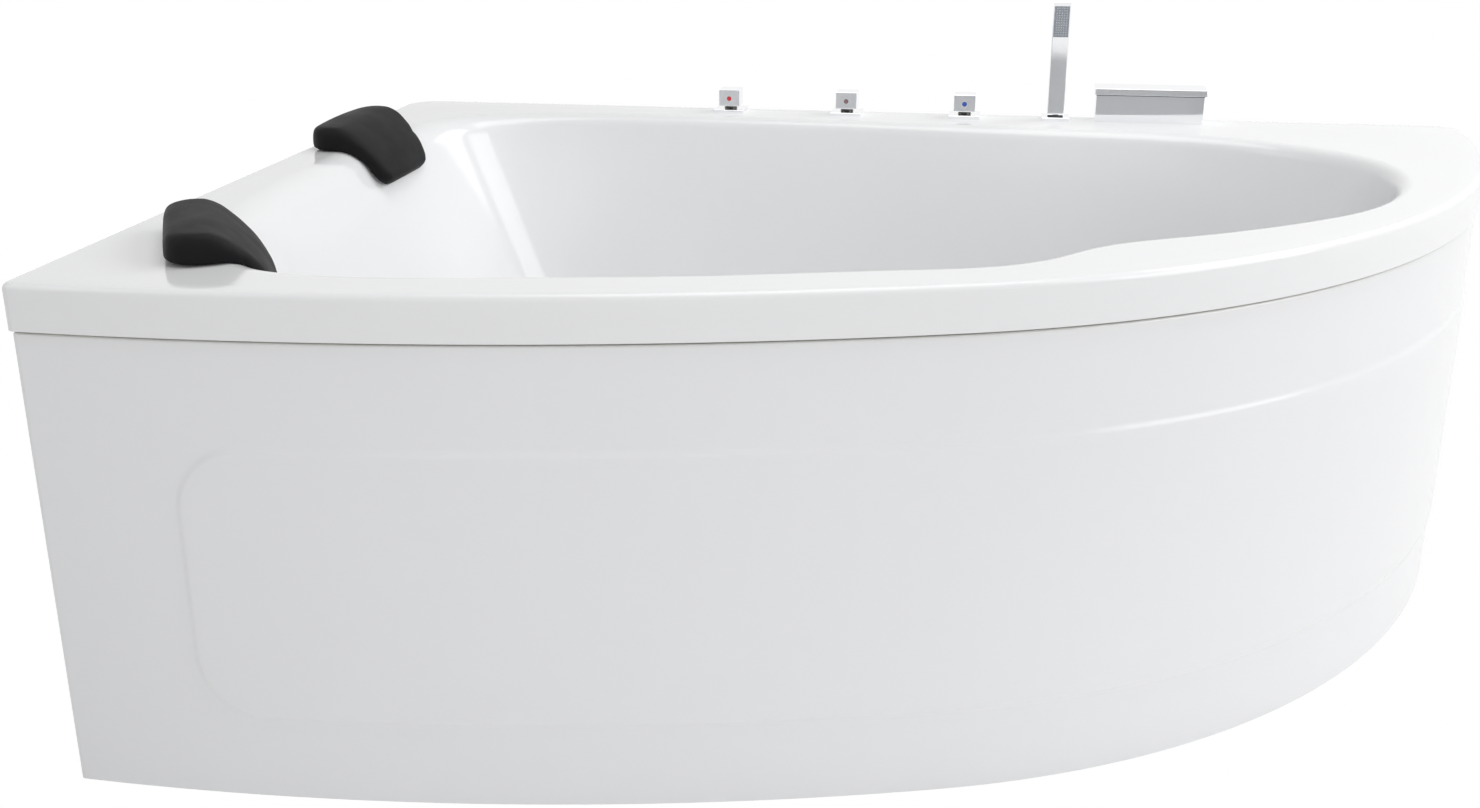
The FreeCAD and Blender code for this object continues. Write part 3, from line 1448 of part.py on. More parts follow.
plug_base = f"{floor_level} + Sizes.DrainFlangeRise + Sizes.PlugSealThickness"
plug = new_body("drain_plug", DRAIN[0], plug_base, DRAIN[1])
rim, stem, stem_end = "Sizes.PlugDiameter / 2", "Sizes.PlugStem / 2", "-Sizes.PlugStemLength"
turned_feature(
    plug,
    "Revolution",
    "cap",
    [
        ("0", stem_end),
        (stem, stem_end),
        (stem, "0"),
        (rim, "0"),
        (rim, "Sizes.PlugThickness / 2"),
        ("Sizes.PlugDiameter / 2 - 4", "Sizes.PlugThickness"),
        ("0", "Sizes.PlugThickness"),
    ],
)


# ---------------------------------------------------------------- overflow
def make_overflow_cover():
    """Hollow cap over the overflow hole, with a water slot below and three snap prongs."""
    thick = size("OverflowCoverThickness")
    cap = on_overflow(rod(size("OverflowCoverDiameter"), thick + wall, 0, 0, -wall))
    cap = cap.cut(on_overflow(rod(size("OverflowHole") + 8, thick - 3 + 2 * wall, 0, 0, -2 * wall)))
    slot = Part.makeBox(size("OverflowSleeve") * 0.8, 40, thick - 4, Vector(-size("OverflowSleeve") * 0.4, 0, 0))
    slot.translate(Vector(0, -60, 0))
    slot.Placement = overflow_place.multiply(upright_on_wall).multiply(slot.Placement)
    cap = cap.cut(slot).cut(tub_shell)
    cap = max(cap.Solids, key=lambda solid: solid.Volume)
    reach = size("OverflowSleeve") / 2 - 3 - 4 * size("FitClearance") - 3
    for turn in (90, 210, 330):
        prong = Part.makeBox(3, 8, thick - 3 + wall + 8, Vector(reach, -4, -wall - 8))
        prong.rotate(Vector(), UP, turn)
        prong.translate(Vector(0, 0, 0.5))
        cap = cap.fuse(on_overflow(prong))
    return cap.removeSplitter()


def make_overflow_body():
    """Elbow body behind the wall, with a sleeve through the hole and a socket underneath."""
    back = -wall - size("OverflowGasket")
    length_behind = size("OverflowBodyLength")
    sleeve = size("OverflowSleeve")
    outer = rod(size("OverflowBodyDiameter"), length_behind, 0, 0, back - length_behind)
    outer = outer.fuse(rod(sleeve, 2 - back + 1, 0, 0, back - 1))
    outer = on_overflow(outer.removeSplitter())
    pipe = size("OverflowPipeDiameter")
    socket = rod(size("OverflowBossDiameter"), overflow_drop, pipe_drop.x, pipe_drop.y, pipe_drop.z - overflow_drop)
    outer = outer.fuse(socket)
    chamber = on_overflow(rod(sleeve - 6, length_behind - back, 0, 0, back - length_behind + 3))
    seat = size("PipeSeat")
    seat_bore = pipe + 2 * size("ThreadClearance")
    pipe_seat = rod(seat_bore, seat, pipe_drop.x, pipe_drop.y, pipe_drop.z - overflow_drop)
    bore = pipe - 2 * size("OverflowPipeWall")
    way = rod(bore, overflow_drop, pipe_drop.x, pipe_drop.y, pipe_drop.z - overflow_drop)
    return outer.cut(chamber).cut(pipe_seat).cut(way)


def make_overflow_gasket():
    """Soft ring between the outside of the wall and the overflow body, shaped to the wall."""
    thick = size("OverflowGasket")
    gasket = rod(size("OverflowBodyDiameter"), thick + wall / 2, 0, 0, -wall - thick)
    gasket = gasket.cut(rod(size("OverflowHole"), 3 * wall, 0, 0, -2 * wall))
    gasket = on_overflow(gasket).cut(tub_shell)
    return max(gasket.Solids, key=lambda solid: solid.Volume)


def make_overflow_pipe():
    """Overflow pipe down behind the basin wall and under the board to the waste body."""
    top = pipe_drop.z - overflow_drop + size("PipeSeat")
    reach = size("OverflowBossReach") - size("PipeSeat")
    corners = [
        Vector(pipe_drop.x, pipe_drop.y, top),
        Vector(pipe_drop.x, pipe_drop.y, inlet_level),
        Vector(drain.x, drain.y, inlet_level) + to_overflow * reach,
    ]
    return bent_pipe(corners, size("OverflowPipeDiameter"), size("OverflowPipeWall"), size("OverflowPipeBend"))


overflow_drop = size("OverflowBodyDiameter") / 2 + 2 * size("PipeSeat")
# The wall frame's own turn about its axis, so that its y axis points up the wall.
up_in_frame = overflow_place.Rotation.inverted().multVec(UP)
upright_turn = math.degrees(math.atan2(-up_in_frame.x, up_in_frame.y))
upright_on_wall = FreeCAD.Placement(Vector(), FreeCAD.Rotation(UP, upright_turn))
plan_feature("overflow_cover", make_overflow_cover())
plan_feature("overflow_body", make_overflow_body())
plan_feature("overflow_gasket", make_overflow_gasket())
plan_feature("overflow_pipe", make_overflow_pipe())


# ---------------------------------------------------------------- headrests
def headrest_section():
    """Side outline of a headrest: over the deck, across the edge and down the slope.

    x runs into the basin from its edge and z up from the deck; the underside lies below the
    surfaces that the cushion rests on, and is shaped by them afterwards.
    """
    rise, drop = size("HeadrestRise"), size("HeadrestDrop")
    on_deck, in_basin = size("HeadrestOnDeck"), size("HeadrestInBasin")
    top = [(-1.0, 0.1), (-0.98, 0.4), (-0.88, 0.66), (-0.67, 0.85), (-0.38, 0.96), (-0.08, 1.0)]
    outline = [(share_x * on_deck, share_z * rise) for share_x, share_z in top]
    slope = [(0.13, 0.14), (0.3, 0.3), (0.49, 0.47), (0.68, 0.64), (0.84, 0.78), (0.96, 0.9), (1.0, 0.97)]
    outline += [(along * in_basin, rise - fall * (rise + drop)) for along, fall in slope]
    under = [(0.93, 1.08), (0.78, 1.18), (0.45, 0.98), (0.08, 0.66), (-0.22, 0.34), (-0.58, 0.2)]
    outline += [(along * in_basin, -fall * drop) for along, fall in under]
    return outline


def drawn_in(outline, amount):
    """The outline moved inwards by an amount, square to itself."""
    moved = []
    count = len(outline)
    for index, (x, z) in enumerate(outline):
        before, after = outline[index - 1], outline[(index + 1) % count]
        run_x, run_z = after[0] - before[0], after[1] - before[1]
        span = math.hypot(run_x, run_z)
        moved.append((x + amount * run_z / span, z - amount * run_x / span))
    return moved


def make_headrest(name):
    """Foam saddle cushion with a crowned middle and rounded ends and corners, on deck and slope."""
    half, end_round = size("HeadrestWidth") / 2, size("HeadrestEndRound")
    crown = size("HeadrestCrown")
    stations = [(0, -crown), (half * 0.45, -crown * 0.8), (half * 0.75, -crown * 0.35)]
    for turn in (0, 25, 50, 70, 90):
        angle = math.radians(turn)
        stations.append((half - end_round + end_round * math.sin(angle), end_round * (1 - math.cos(angle))))
    mirrored = [(-y, inward) for y, inward in reversed(stations[1:])]
    wires = []
    for y, inward in mirrored + stations:
        points = [Vector(x, y, z) for x, z in drawn_in(headrest_section(), inward)]
        curve = Part.BSplineCurve()
        curve.interpolate(Points=points, PeriodicFlag=True)
        wires.append(Part.Wire([curve.toShape()]))
    cushion = Part.makeLoft(wires, True, True)
    on_deck = size("HeadrestOnDeck") + crown
    in_basin = size("HeadrestInBasin") + crown
    tall = 2 * (size("HeadrestRise") + size("HeadrestDrop"))
    plan = block(on_deck + in_basin, 2 * half, tall, (in_basin - on_deck) / 2, 0, -tall / 2)
    upright = [edge for edge in plan.Edges if abs(edge.Vertexes[0].Z - edge.Vertexes[1].Z) > 1]
    cushion = cushion.common(plan.makeFillet(size("HeadrestCorner"), upright))
    cushion.Placement = headrest_place(name)
    gap = size("HeadrestSeatGap")
    seat = tub_block(0, floor_inside, rim_top + gap).cut(basin_block(-gap, 1))
    cushion = cushion.cut(seat)
    cushion = max(cushion.Solids, key=lambda solid: solid.Volume)
    for stud in stud_rods(name, size("StudDiameter"), gap + size("StudLength"), -1):
        cushion = cushion.cut(stud)
    return cushion


def make_studs(name):
    """The pair of studs in a headrest's underside that drop into the deck's holes."""
    gap = size("HeadrestSeatGap")
    return Part.makeCompound(
        stud_rods(name, size("StudDiameter"), gap + size("StudLength"), -size("StudLength"))
    )


for side in headrest_spots:
    plan_feature(f"headrest_{side}", make_headrest(side))
    plan_feature(f"headrest_{side}_studs", make_studs(side))


# ---------------------------------------------------------------- write the pieces
doc.recompute()
for item in doc.Objects:
    broken = [state for state in item.State if state in ("Invalid", "Error")]
    if broken:
        raise RuntimeError(f"{item.Label} did not build")
    if item.TypeId in ("PartDesign::Pocket", "PartDesign::Groove"):
        if item.Shape.Volume > item.BaseFeature.Shape.Volume - 0.01:
            raise RuntimeError(f"{item.Label} removes nothing")
for piece in pieces:
    if piece.Shape.isNull() or not piece.Shape.isValid():
        raise RuntimeError(f"{piece.Label} has no valid shape")

os.makedirs("parts", exist_ok=True)
for piece in pieces:
    piece.Shape.exportStep(f"parts/{piece.Label}.step")
    print(f"{piece.Label}: {len(piece.Shape.Solids)} solid, {piece.Shape.Volume / 1000:.1f} cm3")
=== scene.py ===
import math

import bmesh
import bpy
import numpy as np
from mathutils import Matrix, Vector
from mathutils.bvhtree import BVHTree


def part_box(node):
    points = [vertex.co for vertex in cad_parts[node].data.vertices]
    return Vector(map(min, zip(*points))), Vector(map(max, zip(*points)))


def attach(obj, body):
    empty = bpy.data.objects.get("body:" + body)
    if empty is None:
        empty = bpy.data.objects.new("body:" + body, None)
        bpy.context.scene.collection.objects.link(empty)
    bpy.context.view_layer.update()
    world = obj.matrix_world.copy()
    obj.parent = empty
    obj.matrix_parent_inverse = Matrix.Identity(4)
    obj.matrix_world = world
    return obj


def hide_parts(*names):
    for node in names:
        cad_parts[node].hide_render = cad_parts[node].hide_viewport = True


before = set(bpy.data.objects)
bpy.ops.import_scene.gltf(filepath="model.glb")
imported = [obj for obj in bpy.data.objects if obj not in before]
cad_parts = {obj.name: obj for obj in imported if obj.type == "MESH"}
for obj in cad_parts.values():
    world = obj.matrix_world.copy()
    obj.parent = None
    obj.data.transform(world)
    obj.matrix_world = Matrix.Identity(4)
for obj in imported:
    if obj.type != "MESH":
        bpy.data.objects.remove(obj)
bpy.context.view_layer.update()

# ---------------------------------------------------------------- tub shell
# The tub is one sheet of cast acrylic, drawn into a mould: the flat deck, its turned-down lip and
# the basin are one glossy skin, drilled for the waste, the overflow, the taps and the headrests.
tub_length = 1.7
tub_depth = 1.2
rim_top = 0.600
lip_height = 0.052
shell_wall = 0.006
floor_height = 0.145
rim_round = 0.008
front_left_round = 0.012
back_right_round = 0.040
back_left_round = 0.050
bow_reach = tub_depth - 0.043
end_bow = 0.906 * bow_reach
bow = ((tub_length - end_bow) ** 2 + bow_reach**2 - end_bow**2) / (2 * (bow_reach - end_bow))
bow_turn = math.asin((tub_length - end_bow) / (bow - end_bow))
bow_length = bow * bow_turn
front_length = bow_length + end_bow * (math.pi / 2 - bow_turn)
quarter = math.pi / 2


def plan_arc(centre, radius, start, end, steps):
    """Plan points of a round, whose outward side turns from one heading to another."""
    headings = np.linspace(start, end, steps + 1)
    return np.column_stack((centre[0] + radius * np.sin(headings), centre[1] - radius * np.cos(headings)))


def plan_line(start, end, steps):
    return np.linspace(start, end, steps + 1)


def front_run(inset, fineness=1):
    """Plan points along the front, from the left corner's round to the back right corner's."""
    round_left = max(front_left_round - inset, 0.0005)
    corner = inset + round_left
    corner_y = bow - math.sqrt((bow - corner) ** 2 - corner**2)
    corner_turn = math.asin(corner / (bow - corner))
    right = tub_length - inset
    runs = [
        plan_arc((corner, corner_y), round_left, -quarter, corner_turn, 8),
        plan_arc((0, bow), bow - inset, corner_turn, bow_turn, 220 * fineness),
        plan_arc((tub_length - end_bow, bow_reach), end_bow - inset, bow_turn, quarter, 150 * fineness),
        plan_line((right, bow_reach), (right, tub_depth - back_right_round), 1),
        plan_arc(
            (tub_length - back_right_round, tub_depth - back_right_round),
            back_right_round - inset,
            quarter,
            2 * quarter,
            12,
        ),
    ]
    return np.vstack([run[:-1] for run in runs] + [runs[-1][-1:]])


def tub_outline(inset):
    """Plan points round the whole tub at an inset from its edge."""
    back = tub_depth - inset
    back_run = plan_line((tub_length - back_right_round, back), (back_left_round, back), 130)
    centre = (back_left_round, tub_depth - back_left_round)
    corner = plan_arc(centre, back_left_round - inset, 2 * quarter, 3 * quarter, 14)
    front = front_run(inset)
    left_run = plan_line((inset, tub_depth - back_left_round), front[0], 110)
    return np.vstack((front[:-1], back_run[:-1], corner[:-1], left_run[:-1]))


def behind_front(share, deck):
    """Plan point at a share of the front edge's length and a deck width behind it."""
    along = share * front_length
    if along < bow_length:
        return plan_arc((0, bow), bow - deck, along / bow, 0, 1)[0]
    turn = bow_turn + (along - bow_length) / end_bow
    return plan_arc((tub_length - end_bow, bow_reach), end_bow - deck, turn, 0, 1)[0]


def before_back(share, deck):
    return (share * tub_length, tub_depth - deck)


# The basin's edge runs along the front, round the foot end, back along the wall and round the
# backrest. The front deck steps out to a wider grip just past the middle of the bow.
left_deck, front_deck, grip_deck, end_deck, back_deck = 0.058, 0.064, 0.104, 0.152, 0.083
front_headrest_spot = (0.138, 0.195)
overflow_along = 0.740
basin_edge = np.array(
    [
        (left_deck, 0.533 * tub_depth),
        (left_deck + 0.005, 0.392 * tub_depth),
        (left_deck + 0.028, 0.271 * tub_depth),
        front_headrest_spot,
        behind_front(0.093, front_deck + 0.036),
        behind_front(0.1385, front_deck + 0.002),
        behind_front(0.225, front_deck),
        behind_front(overflow_along / front_length, front_deck),
        behind_front(0.411, front_deck),
        behind_front(0.4805, front_deck + 0.003),
        behind_front(0.504, (front_deck + grip_deck) / 2),
        behind_front(0.530, grip_deck),
        behind_front(0.593, grip_deck - 0.005),
        behind_front(0.659, grip_deck - 0.028),
        behind_front(0.722, grip_deck - 0.048),
        behind_front(0.785, grip_deck - 0.042),
        (tub_length - end_deck, 0.675 * tub_depth),
        (tub_length - end_deck - 0.020, 0.758 * tub_depth),
        before_back(0.847, back_deck + 0.114),
        before_back(0.769, back_deck + 0.057),
        before_back(0.6205, back_deck + 0.031),
        before_back(0.4705, back_deck + 0.011),
        before_back(0.3235, back_deck),
        before_back(0.209, back_deck + 0.001),
        before_back(0.134, back_deck + 0.019),
        before_back(0.082, back_deck + 0.059),
        (left_deck + 0.028, 0.812 * tub_depth),
        (left_deck + 0.005, 0.699 * tub_depth),
    ]
)
edge_low = basin_edge.min(axis=0)
edge_high = basin_edge.max(axis=0)


def closed_curve(points, steps):
    """Smooth closed curve through plan points, with a number of steps from each to the next."""
    ahead = np.roll(points, -1, axis=0)
    span = np.linalg.norm(ahead - points, axis=1)[:, None]
    slope = (ahead - points) / span
    balance = np.zeros((len(points), len(points)))
    for place in range(len(points)):
        balance[place, place - 1] += span[place - 1, 0]
        balance[place, place] += 2 * (span[place - 1, 0] + span[place, 0])
        balance[place, (place + 1) % len(points)] += span[place, 0]
    bend = np.linalg.solve(balance, 6 * (slope - np.roll(slope, 1, axis=0)))
    bend_ahead = np.roll(bend, -1, axis=0)
    samples = []
    for share in np.linspace(0, 1, steps, endpoint=False):
        rest = 1 - share
        sag = (rest**3 - rest) * bend + (share**3 - share) * bend_ahead
        samples.append(rest * points + share * ahead + span**2 / 6 * sag)
    return np.stack(samples, axis=1).reshape(-1, 2)


basin_middle = np.array((0.70, 0.64))


def matched_edge(outline):
    """The basin's edge at the bearings, from the middle of the basin, of the outline's points."""
    edge = closed_curve(basin_edge, 60)
    bearing = np.arctan2(*(edge - basin_middle).T[::-1])
    order = np.argsort(bearing)
    wanted = np.arctan2(*(outline - basin_middle).T[::-1])
    known = bearing[order]
    turn = 2 * math.pi
    return np.column_stack([np.interp(wanted, known, edge[order, axis], period=turn) for axis in (0, 1)])


basin_depth = rim_top - floor_height
# Each wall: the round at the deck's edge, its lean in degrees and the round into the floor.
basin_walls = {
    "backrest": (0.045, 24, 0.110),
    "foot": (0.022, 13, 0.120),
    "side": (0.020, 8, 0.090),
}


def wall_run(down, edge_round, slope, floor_round):
    """How far a basin wall has come in from the deck's edge at a depth below the deck."""
    lean = math.radians(slope)
    roll_end = edge_round * (1 - math.sin(lean))
    if down <= roll_end:
        return math.sqrt(max(0, edge_round**2 - (edge_round - down) ** 2))
    floor_start = basin_depth - floor_round * (1 - math.sin(lean))
    run = edge_round * math.cos(lean) + (min(down, floor_start) - roll_end) * math.tan(lean)
    if down <= floor_start:
        return run
    rise = down - (basin_depth - floor_round)
    return run + floor_round * math.cos(lean) - math.sqrt(max(0, floor_round**2 - rise**2))


def squeezed(points, down):
    """Plan points of the basin's edge carried down the walls to a depth."""
    side = wall_run(down, *basin_walls["side"])
    low = edge_low + (wall_run(down, *basin_walls["backrest"]), side)
    high = edge_high - (wall_run(down, *basin_walls["foot"]), side)
    return low + (points - edge_low) / (edge_high - edge_low) * (high - low)


def at_height(points, height):
    """Points of the part's own frame, from plan points and a height."""
    return np.column_stack((points - (tub_length / 2, tub_depth / 2), np.full(len(points), height)))


outline = tub_outline(0)
opening = matched_edge(tub_outline(rim_round))
lip_middle = 0.030
face_rings = [at_height(outline, rim_top - lip_height), at_height(outline, rim_top - lip_middle)]
for turn in np.linspace(0, quarter, 7):
    inset = rim_round * (1 - math.cos(turn))
    face_rings.append(at_height(tub_outline(inset), rim_top - rim_round * (1 - math.sin(turn))))
deck_edge = tub_outline(rim_round)
for share in (0.3, 0.6, 0.85, 0.97):
    face_rings.append(at_height(deck_edge + share * (opening - deck_edge), rim_top))
edge_zone, floor_zone = 0.045, 0.120
roll_depths = edge_zone * (np.arange(0, 17) / 16) ** 2
wall_depths = np.linspace(edge_zone, basin_depth - floor_zone, 8)[1:]
floor_depths = basin_depth - floor_zone * (1 - np.arange(1, 19) / 18) ** 2
for down in np.concatenate((roll_depths, wall_depths, floor_depths)):
    face_rings.append(at_height(squeezed(opening, down), rim_top - down))

drain = np.array((0.770, 0.370))
recess_radius, recess_depth = 0.0355, 0.0025
drain_radius = 0.025
floor_edge = squeezed(opening, basin_depth)
to_floor_edge = floor_edge - drain
radial = to_floor_edge / np.linalg.norm(to_floor_edge, axis=1)[:, None]
recess_edge = drain + recess_radius * radial
hole_edge = drain + drain_radius * radial
floor_level = rim_top - basin_depth
wall_rings = len(face_rings)
for share in (0.25, 0.5, 0.75, 0.92):
    face_rings.append(at_height(floor_edge + share * (recess_edge - floor_edge), floor_level))
face_rings.append(at_height(recess_edge, floor_level))
face_rings.append(at_height(recess_edge, floor_level - recess_depth))
face_rings.append(at_height(hole_edge, floor_level - recess_depth))


def ring_normals(rings):
    """Unit normals of a grid of rings, from the runs along and across them."""
    grid = np.array(rings)
    along = np.roll(grid, -1, axis=1) - np.roll(grid, 1, axis=1)
    across = np.gradient(grid, axis=0)
    normals = np.cross(along, across)
    return normals / np.maximum(np.linalg.norm(normals, axis=2, keepdims=True), 1e-12)


skin = np.array(face_rings[:wall_rings])
normals = ring_normals(skin)
normals[0] = normals[1]
deck_ring = 8
if normals[deck_ring, :, 2].mean() < 0:
    normals = -normals
under_skin = list(skin - shell_wall * normals)
for share in (0.5, 1):
    under_skin.append(at_height(floor_edge + share * (hole_edge - floor_edge), floor_level - shell_wall))


def ring_mesh(name, rings):
    """A mesh of quads between closed rings of points, each to the next and the last to the first."""
    count = len(rings[0])
    corners = np.vstack(rings)
    places = np.arange(count)
    faces = []
    for near in range(len(rings)):
        near_row = near * count + places
        far_row = (near + 1) % len(rings) * count + places
        quads = (near_row, np.roll(near_row, -1), np.roll(far_row, -1), far_row)
        faces += np.column_stack(quads).tolist()
    mesh = bpy.data.meshes.new(name)
    mesh.from_pydata(corners.tolist(), [], faces)
    return mesh


sharp_angle = math.radians(35)


def add_piece(name, mesh):
    """Put a mesh in the scene with outward faces and smooth shading between its sharp edges."""
    shape = bmesh.new()
    shape.from_mesh(mesh)
    bmesh.ops.recalc_face_normals(shape, faces=shape.faces)
    shape.to_mesh(mesh)
    shape.free()
    mesh.shade_smooth()
    mesh.set_sharp_from_angle(angle=sharp_angle)
    piece = bpy.data.objects.new(name, mesh)
    bpy.context.scene.collection.objects.link(piece)
    return piece


def mottle_group():
    """Cloudy, fine and flaky variation over a surface, each as a value from 0 to 1."""
    group = bpy.data.node_groups.new("mottle", "ShaderNodeTree")
    for name in ("Cloud Scale", "Grain Scale"):
        group.interface.new_socket(name, in_out="INPUT", socket_type="NodeSocketFloat")
    for name in ("Cloud", "Grain", "Flake"):
        group.interface.new_socket(name, in_out="OUTPUT", socket_type="NodeSocketFloat")
    nodes, links = group.nodes, group.links
    inputs = nodes.new("NodeGroupInput")
    outputs = nodes.new("NodeGroupOutput")
    place = nodes.new("ShaderNodeTexCoord")
    for name, detail in (("Cloud", 4.0), ("Grain", 2.0)):
        noise = nodes.new("ShaderNodeTexNoise")
        noise.inputs["Detail"].default_value = detail
        links.new(place.outputs["Object"], noise.inputs["Vector"])
        links.new(inputs.outputs[f"{name} Scale"], noise.inputs["Scale"])
        links.new(noise.outputs["Fac"], outputs.inputs[name])
    flakes = nodes.new("ShaderNodeTexVoronoi")
    flake_tone = nodes.new("ShaderNodeSeparateColor")
    links.new(place.outputs["Object"], flakes.inputs["Vector"])
    links.new(inputs.outputs["Cloud Scale"], flakes.inputs["Scale"])
    links.new(flakes.outputs["Color"], flake_tone.inputs["Color"])
    links.new(flake_tone.outputs["Red"], outputs.inputs["Flake"])
    return group


mottle = mottle_group()

# Places of the two colours and of the mixed colour among a colour mix node's sockets.
mix_first, mix_second, mix_result = 6, 7, 2


def finish(name, tones, roughness, cloud_scale, grain_scale, grain=0.0, metal=0.0, pattern="Cloud"):
    """A material whose colour and gloss wander between two values, with a fine grain in relief."""
    material = bpy.data.materials.new(name)
    material.use_nodes = True
    nodes, links = material.node_tree.nodes, material.node_tree.links
    shader = nodes["Principled BSDF"]
    shader.inputs["Metallic"].default_value = metal
    variation = nodes.new("ShaderNodeGroup")
    variation.node_tree = mottle
    variation.inputs["Cloud Scale"].default_value = cloud_scale
    variation.inputs["Grain Scale"].default_value = grain_scale
    colour = nodes.new("ShaderNodeMix")
    colour.data_type = "RGBA"
    colour.inputs[mix_first].default_value = (*tones[0], 1)
    colour.inputs[mix_second].default_value = (*tones[1], 1)
    links.new(variation.outputs[pattern], colour.inputs["Factor"])
    links.new(colour.outputs[mix_result], shader.inputs["Base Color"])
    gloss = nodes.new("ShaderNodeMapRange")
    gloss.inputs["From Min"].default_value = 0.3
    gloss.inputs["From Max"].default_value = 0.7
    gloss.inputs["To Min"].default_value = roughness[0]
    gloss.inputs["To Max"].default_value = roughness[1]
    links.new(variation.outputs[pattern], gloss.inputs["Value"])
    links.new(gloss.outputs["Result"], shader.inputs["Roughness"])
    if grain:
        relief = nodes.new("ShaderNodeBump")
        relief.inputs["Strength"].default_value = 1.0
        relief.inputs["Distance"].default_value = grain
        links.new(variation.outputs["Grain"], relief.inputs["Height"])
        links.new(relief.outputs["Normal"], shader.inputs["Normal"])
    return material


tub_finish = finish(
    "white_acrylic", ((0.86, 0.865, 0.875), (0.88, 0.885, 0.89)), (0.10, 0.16), 3.0, 60.0, 0.00002
)
lay_up = finish(
    "glass_fibre_back", ((0.60, 0.60, 0.52), (0.78, 0.77, 0.68)), (0.45, 0.7), 45.0, 260.0, 0.0006
)
shell_mesh = ring_mesh("acrylic_tub", face_rings + under_skin[::-1])
shell_mesh.materials.append(tub_finish)
shell_mesh.materials.append(lay_up)
backed = np.arange(len(shell_mesh.polygons)) >= len(outline) * len(face_rings)
shell_mesh.polygons.foreach_set("material_index", backed.astype(np.int32))
acrylic_tub = add_piece("acrylic_tub", shell_mesh)


def drill_rod(centre, axis, diameter, length):
    """Corners and faces of a drill, a rod about a centre along an axis."""
    turn = Vector((0, 0, 1)).rotation_difference(axis).to_matrix().to_4x4()
    shape = bmesh.new()
    place = Matrix.Translation(centre) @ turn
    radius = diameter / 2
    bmesh.ops.create_cone(
        shape, cap_ends=True, segments=48, radius1=radius, radius2=radius, depth=length, matrix=place
    )
    return shape


def drill(piece, rods):
    """Cut rods out of a piece, each given as centre, axis, diameter and length."""
    cutter_mesh = bpy.data.meshes.new("drill")
    shape = bmesh.new()
    for rod in rods:
        single = drill_rod(*rod)
        single.to_mesh(cutter_mesh)
        single.free()
        shape.from_mesh(cutter_mesh)
    shape.to_mesh(cutter_mesh)
    shape.free()
    cutter = bpy.data.objects.new("drill", cutter_mesh)
    bpy.context.scene.collection.objects.link(cutter)
    cut = piece.modifiers.new("drill", "BOOLEAN")
    cut.operation = "DIFFERENCE"
    cut.solver = "EXACT"
    cut.object = cutter
    bpy.context.view_layer.update()
    drilled = bpy.data.meshes.new_from_object(piece.evaluated_get(bpy.context.evaluated_depsgraph_get()))
    piece.modifiers.clear()
    piece.data = drilled
    bpy.data.objects.remove(cutter)


tap_y = tub_depth - 0.035
fitting_hole, stud_hole, overflow_hole = 0.024, 0.0064, 0.044
drill_length, overflow_drill_length = 0.03, 0.04
stud_setback, stud_spread = 0.024, 0.060
overflow_down = 0.090
tap_line = {"hot": 0.568, "diverter": 0.761, "cold": 0.951, "shower": 1.094, "spout": 1.237}
up = Vector((0, 0, 1))
holes = []
for x in tap_line.values():
    fitting = Vector(at_height(np.array([(x, tap_y)]), rim_top)[0])
    holes.append((fitting, up, fitting_hole, drill_length))
headrest_spots = {
    "back": ((0.062, tub_depth - 0.373), 0),
    "front": (front_headrest_spot, math.radians(29)),
}
for spot, turn in headrest_spots.values():
    for side in (-1, 1):
        along = np.array(
            (
                -stud_setback * math.cos(turn) - side * stud_spread * math.sin(turn),
                -stud_setback * math.sin(turn) + side * stud_spread * math.cos(turn),
            )
        )
        stud = Vector(at_height(np.array([spot + along]), rim_top)[0])
        holes.append((stud, up, stud_hole, drill_length))
overflow_point = basin_edge[7:8]
overflow_spot = Vector(at_height(squeezed(overflow_point, overflow_down), rim_top - overflow_down)[0])
just_below = overflow_down + 0.001
overflow_below = Vector(at_height(squeezed(overflow_point, just_below), rim_top - just_below)[0])
overflow_heading = overflow_along / bow
overflow_run = Vector((math.cos(overflow_heading), math.sin(overflow_heading), 0))
overflow_axis = overflow_run.cross(overflow_below - overflow_spot).normalized()
holes.append((overflow_spot, overflow_axis, overflow_hole, overflow_drill_length))
drill(acrylic_tub, holes)
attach(acrylic_tub, "tub")
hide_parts("tub_shell")


def dress(material, *names):
    """Give CAD nodes a material in place of their plain one."""
    for name in names:
        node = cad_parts[name]
        for slot in node.material_slots:
            slot.material = material


# ---------------------------------------------------------------- front panel
# A second, thinner acrylic sheet bowed round the front: a top flange is screwed to the frame's
# brackets under the lip, and a long field with rounded corners stands a little proud.
panel_inset = 0.004
panel_wall = 0.004
panel_top = rim_top - lip_height - 0.003
panel_return = 0.045
field_proud = 0.003
field_bottom, field_top = 0.098, 0.430
field_round = 0.080
field_edge = 0.008
panel_round = 0.003
flange_width = 0.014
fine_step, coarse_step = 0.0022, 0.008


def panel_run(inset):
    """Plan points of the panel from its left return, round the front, to its return at the back."""
    front = front_run(inset, 6)
    left = plan_line((inset, panel_return), front[0], 12)
    back = plan_line(front[-1], (tub_length - panel_return, tub_depth - inset), 4)
    return np.vstack((left[:-1], front, back[1:]))


